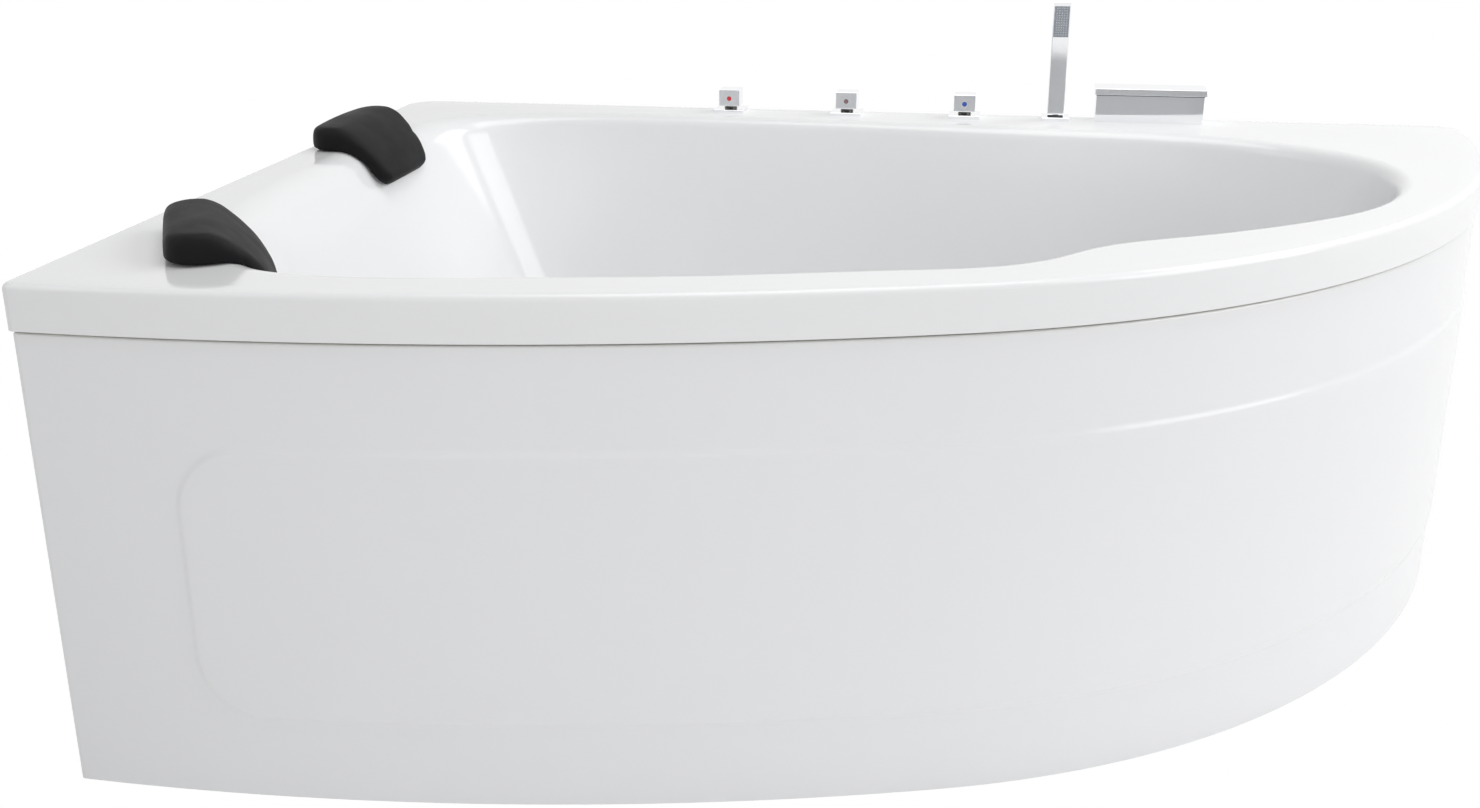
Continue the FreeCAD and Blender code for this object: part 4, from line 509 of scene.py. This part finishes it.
face_line = panel_run(panel_inset)
outward = (face_line - panel_run(panel_inset + 0.001)) / 0.001
along_panel = np.concatenate(([0], np.cumsum(np.linalg.norm(np.diff(face_line, axis=0), axis=1))))
front_half = np.arange(len(face_line)) > 20
field_left = along_panel[np.argmax((face_line[:, 0] > 0.168) & front_half)]
field_right = along_panel[np.argmax(face_line[:, 1] > tub_depth - 0.207)]
corner_span = field_round + 0.012
columns = np.unique(
    np.round(
        np.concatenate(
            (
                along_panel[:25],
                np.arange(along_panel[25], field_left - field_edge, coarse_step),
                np.arange(field_left - field_edge, field_left + corner_span, fine_step),
                np.arange(field_left + corner_span, field_right - corner_span, coarse_step),
                np.arange(field_right - corner_span, field_right + field_edge, fine_step),
                np.arange(field_right + field_edge, along_panel[-20], coarse_step),
                along_panel[-20:],
            )
        ),
        6,
    )
)
levels = np.unique(
    np.round(
        np.concatenate(
            (
                np.linspace(0, field_bottom - field_edge, 6),
                np.arange(field_bottom - field_edge, field_bottom + corner_span, fine_step),
                np.linspace(field_bottom + corner_span, field_top - corner_span, 8),
                np.arange(field_top - corner_span, field_top + field_edge, fine_step),
                np.linspace(field_top + field_edge, panel_top - panel_round, 6),
            )
        ),
        6,
    )
)


def on_columns(line):
    return np.column_stack([np.interp(columns, along_panel, line[:, axis]) for axis in (0, 1)])


def proud_at(level):
    """How far the face stands out at a level, for each column: the field with its soft edge."""
    middle = (field_left + field_right) / 2
    half = (field_right - field_left) / 2 - field_round
    high = (field_top - field_bottom) / 2 - field_round
    over_x = np.maximum(np.abs(columns - middle) - half, 0)
    over_z = max(abs(level - (field_bottom + field_top) / 2) - high, 0)
    inside = field_round - np.hypot(over_x, over_z)
    share = np.clip(inside / field_edge, 0, 1)
    return field_proud * share * share * (3 - 2 * share)


panel_rows = []
face_columns, outward_columns = on_columns(face_line), on_columns(outward)
for level in levels:
    panel_rows.append(at_height(face_columns + outward_columns * proud_at(level)[:, None], level))
for turn in np.linspace(0, quarter, 4)[1:]:
    inset = panel_inset + panel_round * (1 - math.cos(turn))
    round_top = panel_top - panel_round * (1 - math.sin(turn))
    panel_rows.append(at_height(on_columns(panel_run(inset)), round_top))
flange_inset = panel_inset + flange_width
panel_rows.append(at_height(on_columns(panel_run(flange_inset)), panel_top))
panel_rows.append(at_height(on_columns(panel_run(flange_inset)), panel_top - panel_wall))
inner_line = on_columns(panel_run(panel_inset + panel_wall))
panel_rows.append(at_height(inner_line, panel_top - panel_wall))
panel_rows.append(at_height(inner_line, (panel_top - panel_wall) / 2))
panel_rows.append(at_height(inner_line, 0))


def strip_mesh(name, rows):
    """A closed mesh from rows of points: each row to the next, last to first, and both ends capped."""
    count = len(rows[0])
    corners = np.vstack(rows)
    places = np.arange(count - 1)
    faces = []
    for near in range(len(rows)):
        near_row = near * count + places
        far_row = (near + 1) % len(rows) * count + places
        faces += np.column_stack((near_row, near_row + 1, far_row + 1, far_row)).tolist()
    faces.append([row * count for row in range(len(rows))][::-1])
    faces.append([row * count + count - 1 for row in range(len(rows))])
    mesh = bpy.data.meshes.new(name)
    mesh.from_pydata(corners.tolist(), [], faces)
    return mesh


panel_finish = finish(
    "panel_acrylic", ((0.84, 0.845, 0.86), (0.87, 0.875, 0.885)), (0.16, 0.24), 2.0, 45.0, 0.00003
)
panel_mesh = strip_mesh("bowed_panel", panel_rows)
panel_mesh.materials.append(panel_finish)
panel_mesh.materials.append(lay_up)
backed = np.arange(len(panel_mesh.polygons)) // (len(columns) - 1) >= len(panel_rows) - 4
backed[-2:] = False
panel_mesh.polygons.foreach_set("material_index", backed.astype(np.int32))
bowed_panel = add_piece("bowed_panel", panel_mesh)
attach(bowed_panel, "tub")
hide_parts("apron_panel")

# ---------------------------------------------------------------- base board and steel frame
# A chipboard panel is bonded under the floor of the basin. Square steel tubes are welded into a
# frame below it, with plastic caps on the posts and screws up into the board.
board_finish = finish(
    "chipboard",
    ((0.36, 0.23, 0.12), (0.62, 0.46, 0.28)),
    (0.6, 0.8),
    160.0, 300.0, 0.0003, pattern="Flake",
)
steel_finish = finish(
    "frame_steel",
    ((0.40, 0.41, 0.42), (0.56, 0.57, 0.58)),
    (0.32, 0.5),
    90.0, 300.0, 0.00003, 0.9, "Flake",
)
zinc_finish = finish(
    "zinc", ((0.55, 0.56, 0.58), (0.68, 0.68, 0.66)), (0.25, 0.38), 40.0, 500.0, 0.00002, 1.0
)
black_finish = finish(
    "black_plastic", ((0.018, 0.018, 0.02), (0.03, 0.03, 0.032)), (0.4, 0.55), 30.0, 900.0, 0.00005
)
white_finish = finish(
    "white_plastic", ((0.74, 0.74, 0.73), (0.8, 0.8, 0.79)), (0.3, 0.42), 25.0, 700.0, 0.00004
)
dress(board_finish, "base_board")
dress(steel_finish, "support_frame", "apron_brackets")
dress(black_finish, "post_caps", "foot_pads")
dress(zinc_finish, "board_screws", "foot_rods", "foot_nuts", "bracket_screws")

# ---------------------------------------------------------------- taps and pipes
# Three square chromed knobs stand on square plates, with coloured dots for hot, mixed and cold.
# Brass valves hang under the deck, joined by copper pipes.
chrome_finish = finish(
    "chrome", ((0.84, 0.85, 0.87), (0.90, 0.91, 0.92)), (0.03, 0.08), 12.0, 300.0, 0.0, 1.0
)
brass_finish = finish(
    "brass", ((0.66, 0.50, 0.22), (0.78, 0.62, 0.32)), (0.2, 0.34), 35.0, 500.0, 0.00002, 1.0
)
copper_finish = finish(
    "copper", ((0.72, 0.36, 0.22), (0.82, 0.48, 0.32)), (0.2, 0.36), 25.0, 500.0, 0.00002, 1.0
)
marker_tones = {"hot": (0.55, 0.03, 0.04), "diverter": (0.22, 0.13, 0.14), "cold": (0.03, 0.10, 0.42)}


def height_mask_group():
    """One between two heights of the part and nothing elsewhere."""
    group = bpy.data.node_groups.new("height_mask", "ShaderNodeTree")
    for name in ("Low", "High"):
        group.interface.new_socket(name, in_out="INPUT", socket_type="NodeSocketFloat")
    group.interface.new_socket("Mask", in_out="OUTPUT", socket_type="NodeSocketFloat")
    nodes, links = group.nodes, group.links
    inputs = nodes.new("NodeGroupInput")
    outputs = nodes.new("NodeGroupOutput")
    place = nodes.new("ShaderNodeTexCoord")
    split = nodes.new("ShaderNodeSeparateXYZ")
    above = nodes.new("ShaderNodeMath")
    above.operation = "GREATER_THAN"
    below = nodes.new("ShaderNodeMath")
    below.operation = "LESS_THAN"
    both = nodes.new("ShaderNodeMath")
    both.operation = "MULTIPLY"
    links.new(place.outputs["Object"], split.inputs[0])
    links.new(split.outputs["Z"], above.inputs[0])
    links.new(inputs.outputs["Low"], above.inputs[1])
    links.new(split.outputs["Z"], below.inputs[0])
    links.new(inputs.outputs["High"], below.inputs[1])
    links.new(above.outputs[0], both.inputs[0])
    links.new(below.outputs[0], both.inputs[1])
    links.new(both.outputs[0], outputs.inputs["Mask"])
    return group


height_mask = height_mask_group()


def painted_shade_between(name, low, high):
    """Chrome with painted shade, a near black band that is not metallic, between two heights, as in the
    gap under a knob or along an outlet's slot.
    """
    material = chrome_finish.copy()
    material.name = name
    nodes, links = material.node_tree.nodes, material.node_tree.links
    shader = nodes["Principled BSDF"]
    mask = nodes.new("ShaderNodeGroup")
    mask.node_tree = height_mask
    mask.inputs["Low"].default_value = low
    mask.inputs["High"].default_value = high
    tone = nodes.new("ShaderNodeMix")
    tone.data_type = "RGBA"
    links.new(shader.inputs["Base Color"].links[0].from_socket, tone.inputs[mix_first])
    tone.inputs[mix_second].default_value = (0.012, 0.012, 0.013, 1)
    metal = nodes.new("ShaderNodeMath")
    metal.operation = "SUBTRACT"
    metal.inputs[0].default_value = 1
    links.new(mask.outputs[0], tone.inputs["Factor"])
    links.new(mask.outputs[0], metal.inputs[1])
    links.new(tone.outputs[mix_result], shader.inputs["Base Color"])
    links.new(metal.outputs[0], shader.inputs["Metallic"])
    return material


knob_height = 0.027
for tap, tone in marker_tones.items():
    dress(chrome_finish, f"escutcheon_{tap}")
    knob_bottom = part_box(f"knob_{tap}")[1].z - knob_height
    # Painted shade: below each knob's bottom, the knob and its spindle are near black, in place of the
    # shade in the gap over the plate.
    dress(painted_shade_between(f"chrome_{tap}", 0, knob_bottom), f"knob_{tap}", f"spindle_{tap}")
    dress(brass_finish, f"valve_{tap}")
    paler = tuple(min(1, channel * 1.3 + 0.01) for channel in tone)
    dress(finish(f"marker_{tap}", (tone, paler), (0.2, 0.3), 200.0, 900.0), f"marker_{tap}")
dress(brass_finish, "clamp_nuts", "hose_outlet")
dress(copper_finish, "hot_feed_pipe", "cold_feed_pipe", "shower_pipe", "spout_pipe")

# ---------------------------------------------------------------- hand shower
# A slim square bar of chromed plastic stands upright in its holder, with a grey spray face at its
# head whose rubber nozzles stand in rows.
dress(chrome_finish, "shower_holder", "handset_body")
dress(black_finish, "holder_ring")
spray_finish = finish(
    "spray_plate", ((0.27, 0.29, 0.33), (0.33, 0.35, 0.39)), (0.3, 0.4), 60.0, 900.0, 0.00003
)
nozzle_finish = finish(
    "nozzle_rubber", ((0.46, 0.49, 0.53), (0.54, 0.57, 0.61)), (0.45, 0.6), 400.0, 2000.0, 0.00003
)
nozzle_rise = 0.0005
nozzle_pitch = 0.0037
nozzle_base, nozzle_tip = 0.0012, 0.0008
spray_low, spray_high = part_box("spray_face")


def spray_plate():
    """The handset's spray plate with a grid of small rubber nozzles on its front."""
    front = spray_low[1] + nozzle_rise
    size = Vector((spray_high[0] - spray_low[0], spray_high[1] - front, spray_high[2] - spray_low[2]))
    middle_x = (spray_low[0] + spray_high[0]) / 2
    middle_z = (spray_low[2] + spray_high[2]) / 2
    middle = Vector((middle_x, (front + spray_high[1]) / 2, middle_z))
    shape = bmesh.new()
    bmesh.ops.create_cube(shape, size=1, matrix=Matrix.Translation(middle) @ Matrix.Diagonal((*size, 1)))
    forward = Matrix.Rotation(quarter, 4, "X")
    rows, columns = 12, 5
    for row in range(rows):
        for column in range(columns):
            across = (column - (columns - 1) / 2) * nozzle_pitch
            high = (row - (rows - 1) / 2) * nozzle_pitch
            spot = Matrix.Translation((middle.x + across, front - nozzle_rise / 2, middle.z + high))
            grown = bmesh.ops.create_cone(
                shape,
                cap_ends=True,
                segments=14,
                radius1=nozzle_base,
                radius2=nozzle_tip,
                depth=nozzle_rise,
                matrix=spot @ forward,
            )
            for face in {face for corner in grown["verts"] for face in corner.link_faces}:
                face.material_index = 1
    mesh = bpy.data.meshes.new("spray_plate")
    shape.to_mesh(mesh)
    shape.free()
    mesh.materials.append(spray_finish)
    mesh.materials.append(nozzle_finish)
    plate = add_piece("spray_plate", mesh)
    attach(plate, "hand_shower")
    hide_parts("spray_face")


spray_plate()

# ---------------------------------------------------------------- waterfall spout
# A wide chromed box stands on the back of the deck. The water leaves through a thin outlet slot under its
# overhanging cover plate; its dark line is painted shade, a near black band on the chrome body.
outlet_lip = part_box("spout_cover")[0].z
slot_shade_half = 0.0022
dress(chrome_finish, "spout_cover")
# Painted shade: the body is near black in a thin band just above and below the cover's lower edge.
dress(painted_shade_between("spout_chrome_slot_shade", outlet_lip - slot_shade_half, outlet_lip + slot_shade_half), "spout_body")

# ---------------------------------------------------------------- waste and overflow
# The chromed flange and plug close the drain; the plastic trap and waste pipe run below the
# floor, and the overflow's elbow and pipe come down to the drain body.
seal_finish = finish(
    "seal_rubber", ((0.02, 0.02, 0.02), (0.035, 0.035, 0.035)), (0.6, 0.75), 50.0, 800.0, 0.00005
)
dress(chrome_finish, "drain_flange", "drain_plug", "overflow_cover")
dress(white_finish, "drain_body", "trap_body", "waste_pipe", "overflow_body", "overflow_pipe")
dress(seal_finish, "drain_seal", "plug_seal", "overflow_gasket")

# ---------------------------------------------------------------- headrests
# Two black pads of moulded foam with a closed skin lie over the deck's edge and down the backrest.
# Each is domed, thick on the deck and narrower at its lower end, and stands on two studs.
pad_on_deck = 0.048
pad_down_slope = 0.085
pad_reach = {"back": (0.106, 0.106), "front": (0.110, 0.092)}
pad_taper = 0.020
pad_deck_corner = 0.034
pad_low_corner = 0.026
pad_top_round = 0.011
pad_crown = 0.003
pad_runs = (-0.048, -0.016, 0.000, 0.010, 0.020, 0.034, 0.060, 0.085)
pad_thickness = (0.034, 0.037, 0.0365, 0.031, 0.024, 0.0190, 0.0200, 0.0210)
pad_voxel = 0.0035
pad_swell_limit = 0.003
pad_clearance = 0.0006
pad_rows, pad_columns = 46, 67
pad_smoothing = 5
swell_frames = 20


def applied(piece):
    """Give a piece the mesh that its modifiers make, and drop the modifiers."""
    bpy.context.view_layer.update()
    mesh = bpy.data.meshes.new_from_object(piece.evaluated_get(bpy.context.evaluated_depsgraph_get()))
    piece.modifiers.clear()
    piece.data = mesh


def corners_of(mesh):
    flat = np.zeros(len(mesh.vertices) * 3)
    mesh.vertices.foreach_get("co", flat)
    return flat.reshape(-1, 3)


def place_corners(mesh, corners):
    mesh.vertices.foreach_set("co", corners.ravel())
    mesh.update()


def keep_off(corners, surface, clearance):
    """Move points off a surface where they lie under it or nearer than a clearance."""
    for index, corner in enumerate(corners):
        near, normal, _, gap = surface.find_nearest(Vector(corner))
        if (Vector(corner) - near).dot(normal) < clearance and gap < 0.03:
            corners[index] = near + normal * clearance
    return corners


def seat_at(run):
    """Place and outward direction of the pad's seat, across the basin's edge and down its wall."""
    edge_round, lean, _ = basin_walls["backrest"]
    turn = min(max(run, 0) / edge_round, quarter - math.radians(lean))
    outward = np.array((math.sin(turn), math.cos(turn)))
    beyond = max(run - edge_round * turn, 0)
    place = edge_round * outward + beyond * np.array((outward[1], -outward[0]))
    return place + (min(run, 0), -edge_round), outward


def rounded_off(distance, radius):
    """How far a rounded edge falls back at a distance in from it."""
    short = max(radius - distance, 0)
    return radius - math.sqrt(radius**2 - short**2)


def half_width(run, reach):
    """Half width of a pad at a place along its seat, with its taper and rounded corners."""
    share = min(max(run, 0) / pad_down_slope, 1)
    corner = rounded_off(run + pad_on_deck, pad_deck_corner)
    corner += rounded_off(pad_down_slope - run, pad_low_corner)
    return reach - pad_taper * share * share * (3 - 2 * share) - corner


def pad_sheets(side, seat):
    """Top and bottom sheets of a pad as grids of points, the bottom found on the tub below."""
    spot, turn = headrest_spots[side]
    origin = at_height(np.array([spot]), rim_top)[0]
    inward = np.array((math.cos(turn), math.sin(turn), 0))
    sideways = np.array((-math.sin(turn), math.cos(turn), 0))
    top, bottom = [], []
    for run in np.linspace(-pad_on_deck, pad_down_slope, pad_rows):
        place, outward = seat_at(run)
        square = outward[0] * inward + outward[1] * np.array(up)
        for share in np.linspace(-1, 1, pad_columns):
            half = half_width(run, pad_reach[side][0 if share < 0 else 1])
            thick = np.interp(run, pad_runs, pad_thickness) - pad_crown * share**2
            thick -= rounded_off(half * (1 - abs(share)), pad_top_round)
            thick -= rounded_off(min(run + pad_on_deck, pad_down_slope - run), pad_top_round)
            base = origin + place[0] * inward + share * half * sideways + place[1] * np.array(up)
            crest = base + thick * square
            seated, _, _, _ = seat.ray_cast(Vector(crest), -Vector(square), 0.08)
            top.append(crest)
            bottom.append(base if seated is None else np.array(seated) + pad_clearance * square)
    grid = (pad_rows, pad_columns, 3)
    return np.reshape(top, grid), np.reshape(bottom, grid)


def block_mesh(name, top, bottom):
    """A closed mesh between two grids of points."""
    rows, columns = top.shape[:2]
    index = np.arange(rows * columns).reshape(rows, columns)
    sheet = np.stack((index[:-1, :-1], index[1:, :-1], index[1:, 1:], index[:-1, 1:]), axis=-1)
    sheet = sheet.reshape(-1, 4)
    rim = np.concatenate((index[0, :-1], index[:-1, -1], index[-1, :0:-1], index[:0:-1, 0]))
    wall = np.stack((rim, np.roll(rim, -1), np.roll(rim, -1) + index.size, rim + index.size), axis=-1)
    corners = np.vstack((top.reshape(-1, 3), bottom.reshape(-1, 3)))
    mesh = bpy.data.meshes.new(name)
    faces = np.vstack((sheet, sheet[:, ::-1] + index.size, wall))
    mesh.from_pydata(corners.tolist(), [], faces.tolist())
    return mesh


tub_surface = BVHTree.FromObject(acrylic_tub, bpy.context.evaluated_depsgraph_get())


def foam_pad(side):
    """A headrest's soft form: its block remeshed, swelled as cloth and set on the tub."""
    name = f"foam_headrest_{side}"
    pad = add_piece(name, block_mesh(name, *pad_sheets(side, tub_surface)))
    remesh = pad.modifiers.new("remesh", "REMESH")
    remesh.mode = "VOXEL"
    remesh.voxel_size = pad_voxel
    smooth = pad.modifiers.new("smooth", "SMOOTH")
    smooth.iterations = pad_smoothing
    applied(pad)
    start = corners_of(pad.data)
    cloth = pad.modifiers.new("cloth", "CLOTH")
    cloth.settings.use_pressure = True
    cloth.settings.uniform_pressure_force = 4
    cloth.settings.effector_weights.gravity = 0
    cloth.settings.bending_stiffness = 10
    for step in range(1, swell_frames + 1):
        bpy.context.scene.frame_set(step)
    applied(pad)
    bpy.context.scene.frame_set(1)
    moved = corners_of(pad.data) - start
    travel = np.linalg.norm(moved, axis=1)[:, None]
    held = np.minimum(1, pad_swell_limit / np.maximum(travel, 1e-9))
    place_corners(pad.data, start + moved * held)
    settle = pad.modifiers.new("settle", "SMOOTH")
    settle.iterations = pad_smoothing
    applied(pad)
    place_corners(pad.data, keep_off(corners_of(pad.data), tub_surface, pad_clearance))
    finer = pad.modifiers.new("finer", "SUBSURF")
    finer.levels = 1
    finer.render_levels = 1
    applied(pad)
    pad.data.shade_smooth()
    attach(pad, f"{side}_headrest")
    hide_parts(f"headrest_{side}")
    return pad


foam_finish = finish(
    "headrest_foam", ((0.005, 0.005, 0.006), (0.009, 0.009, 0.010)), (0.50, 0.62), 20.0, 1200.0, 0.00008
)
foam_finish.node_tree.nodes["Principled BSDF"].inputs["Specular IOR Level"].default_value = 0.12
for side in headrest_spots:
    foam_pad(side).data.materials.append(foam_finish)
dress(black_finish, "headrest_front_studs", "headrest_back_studs")

# ---------------------------------------------------------------- studio
# A flat pale floor, a white world and five soft panels of light. The camera and reflections see
# the floor and the world as full white. For all other rays the floor is pale and the world dim.
def seen_or_mirrored(nodes, links):
    """Socket that is one for rays from the camera or off a glossy surface, and nothing for others."""
    rays = nodes.new("ShaderNodeLightPath")
    either = nodes.new("ShaderNodeMath")
    either.operation = "MAXIMUM"
    links.new(rays.outputs["Is Camera Ray"], either.inputs[0])
    links.new(rays.outputs["Is Glossy Ray"], either.inputs[1])
    return either.outputs[0]


floor_mesh = bpy.data.meshes.new("studio_floor")
floor_mesh.from_pydata([(-6, -4, 0), (6, -4, 0), (6, 6, 0), (-6, 6, 0)], [], [(0, 1, 2, 3)])
studio_floor = bpy.data.objects.new("studio_floor", floor_mesh)
bpy.context.scene.collection.objects.link(studio_floor)
floor_material = bpy.data.materials.new("studio_floor")
floor_material.use_nodes = True
nodes, links = floor_material.node_tree.nodes, floor_material.node_tree.links
shader = nodes["Principled BSDF"]
shader.inputs["Base Color"].default_value = (0.9, 0.9, 0.9, 1)
shader.inputs["Roughness"].default_value = 0.9
glow = nodes.new("ShaderNodeEmission")
glow.inputs["Strength"].default_value = 1.0
blend = nodes.new("ShaderNodeMixShader")
links.new(seen_or_mirrored(nodes, links), blend.inputs[0])
links.new(shader.outputs[0], blend.inputs[1])
links.new(glow.outputs[0], blend.inputs[2])
links.new(blend.outputs[0], nodes["Material Output"].inputs["Surface"])
floor_mesh.materials.append(floor_material)

world = bpy.data.worlds.new("studio")
world.use_nodes = True
bpy.context.scene.world = world
nodes, links = world.node_tree.nodes, world.node_tree.links
background = nodes["Background"]
background.inputs["Color"].default_value = (1, 1, 1, 1)
brightness = nodes.new("ShaderNodeMapRange")
brightness.inputs["To Min"].default_value = 0.2
brightness.inputs["To Max"].default_value = 1.0
links.new(seen_or_mirrored(nodes, links), brightness.inputs["Value"])
links.new(brightness.outputs[0], background.inputs["Strength"])


def soft_panel(name, place, target, width, height, power):
    """A rectangle of soft light that faces a target."""
    light = bpy.data.lights.new(name, "AREA")
    light.shape = "RECTANGLE"
    light.size = width
    light.size_y = height
    light.energy = power
    lamp = bpy.data.objects.new(name, light)
    lamp.location = place
    lamp.rotation_euler = (Vector(target) - Vector(place)).to_track_quat("-Z", "Y").to_euler()
    bpy.context.scene.collection.objects.link(lamp)
    return lamp


soft_panel("key_panel", (2.6, 1.6, 3.0), (0, 0, 0.4), 2.0, 2.0, 48)
soft_panel("overhead_panel", (0.2, -0.2, 3.2), (0, 0, 0.4), 2.0, 2.0, 31)
soft_panel("right_panel", (3.0, -0.8, 1.8), (0, 0, 0.4), 2.0, 2.0, 36)
soft_panel("front_panel", (0.2, -3.4, 1.1), (0, 0, 0.45), 2.0, 2.0, 24).visible_glossy = False
soft_panel("left_panel", (-2.4, -1.6, 2.4), (0.3, 0.1, 0.4), 2.0, 2.0, 12.5)

# The photograph's view: a camera turned a little to the left, tipped down and almost level.
picture_width, picture_height = 1480, 808
focal_pixels = 1559.35
centre_x, centre_y = 692.88, 369.30
yaw, pitch, roll = math.radians(11.685), math.radians(18.932), math.radians(0.525)
ahead = Vector((-math.sin(yaw) * math.cos(pitch), math.cos(yaw) * math.cos(pitch), -math.sin(pitch)))
level_right = Vector((math.cos(yaw), math.sin(yaw), 0))
level_down = ahead.cross(level_right)
right = math.cos(roll) * level_right + math.sin(roll) * level_down
down = -math.sin(roll) * level_right + math.cos(roll) * level_down
lens = bpy.data.cameras.new("camera")
lens.sensor_width = 36
lens.lens = focal_pixels / picture_width * lens.sensor_width
lens.shift_x = (picture_width / 2 - centre_x) / picture_width
lens.shift_y = (centre_y - picture_height / 2) / picture_width
camera = bpy.data.objects.new("camera", lens)
camera_place = Matrix.Translation((0.1772, -1.9877, 1.0360))
camera.matrix_world = camera_place @ Matrix((right, -down, -ahead)).transposed().to_4x4()
bpy.context.scene.collection.objects.link(camera)
bpy.context.scene.camera = camera
bpy.context.scene.view_settings.view_transform = "Standard"
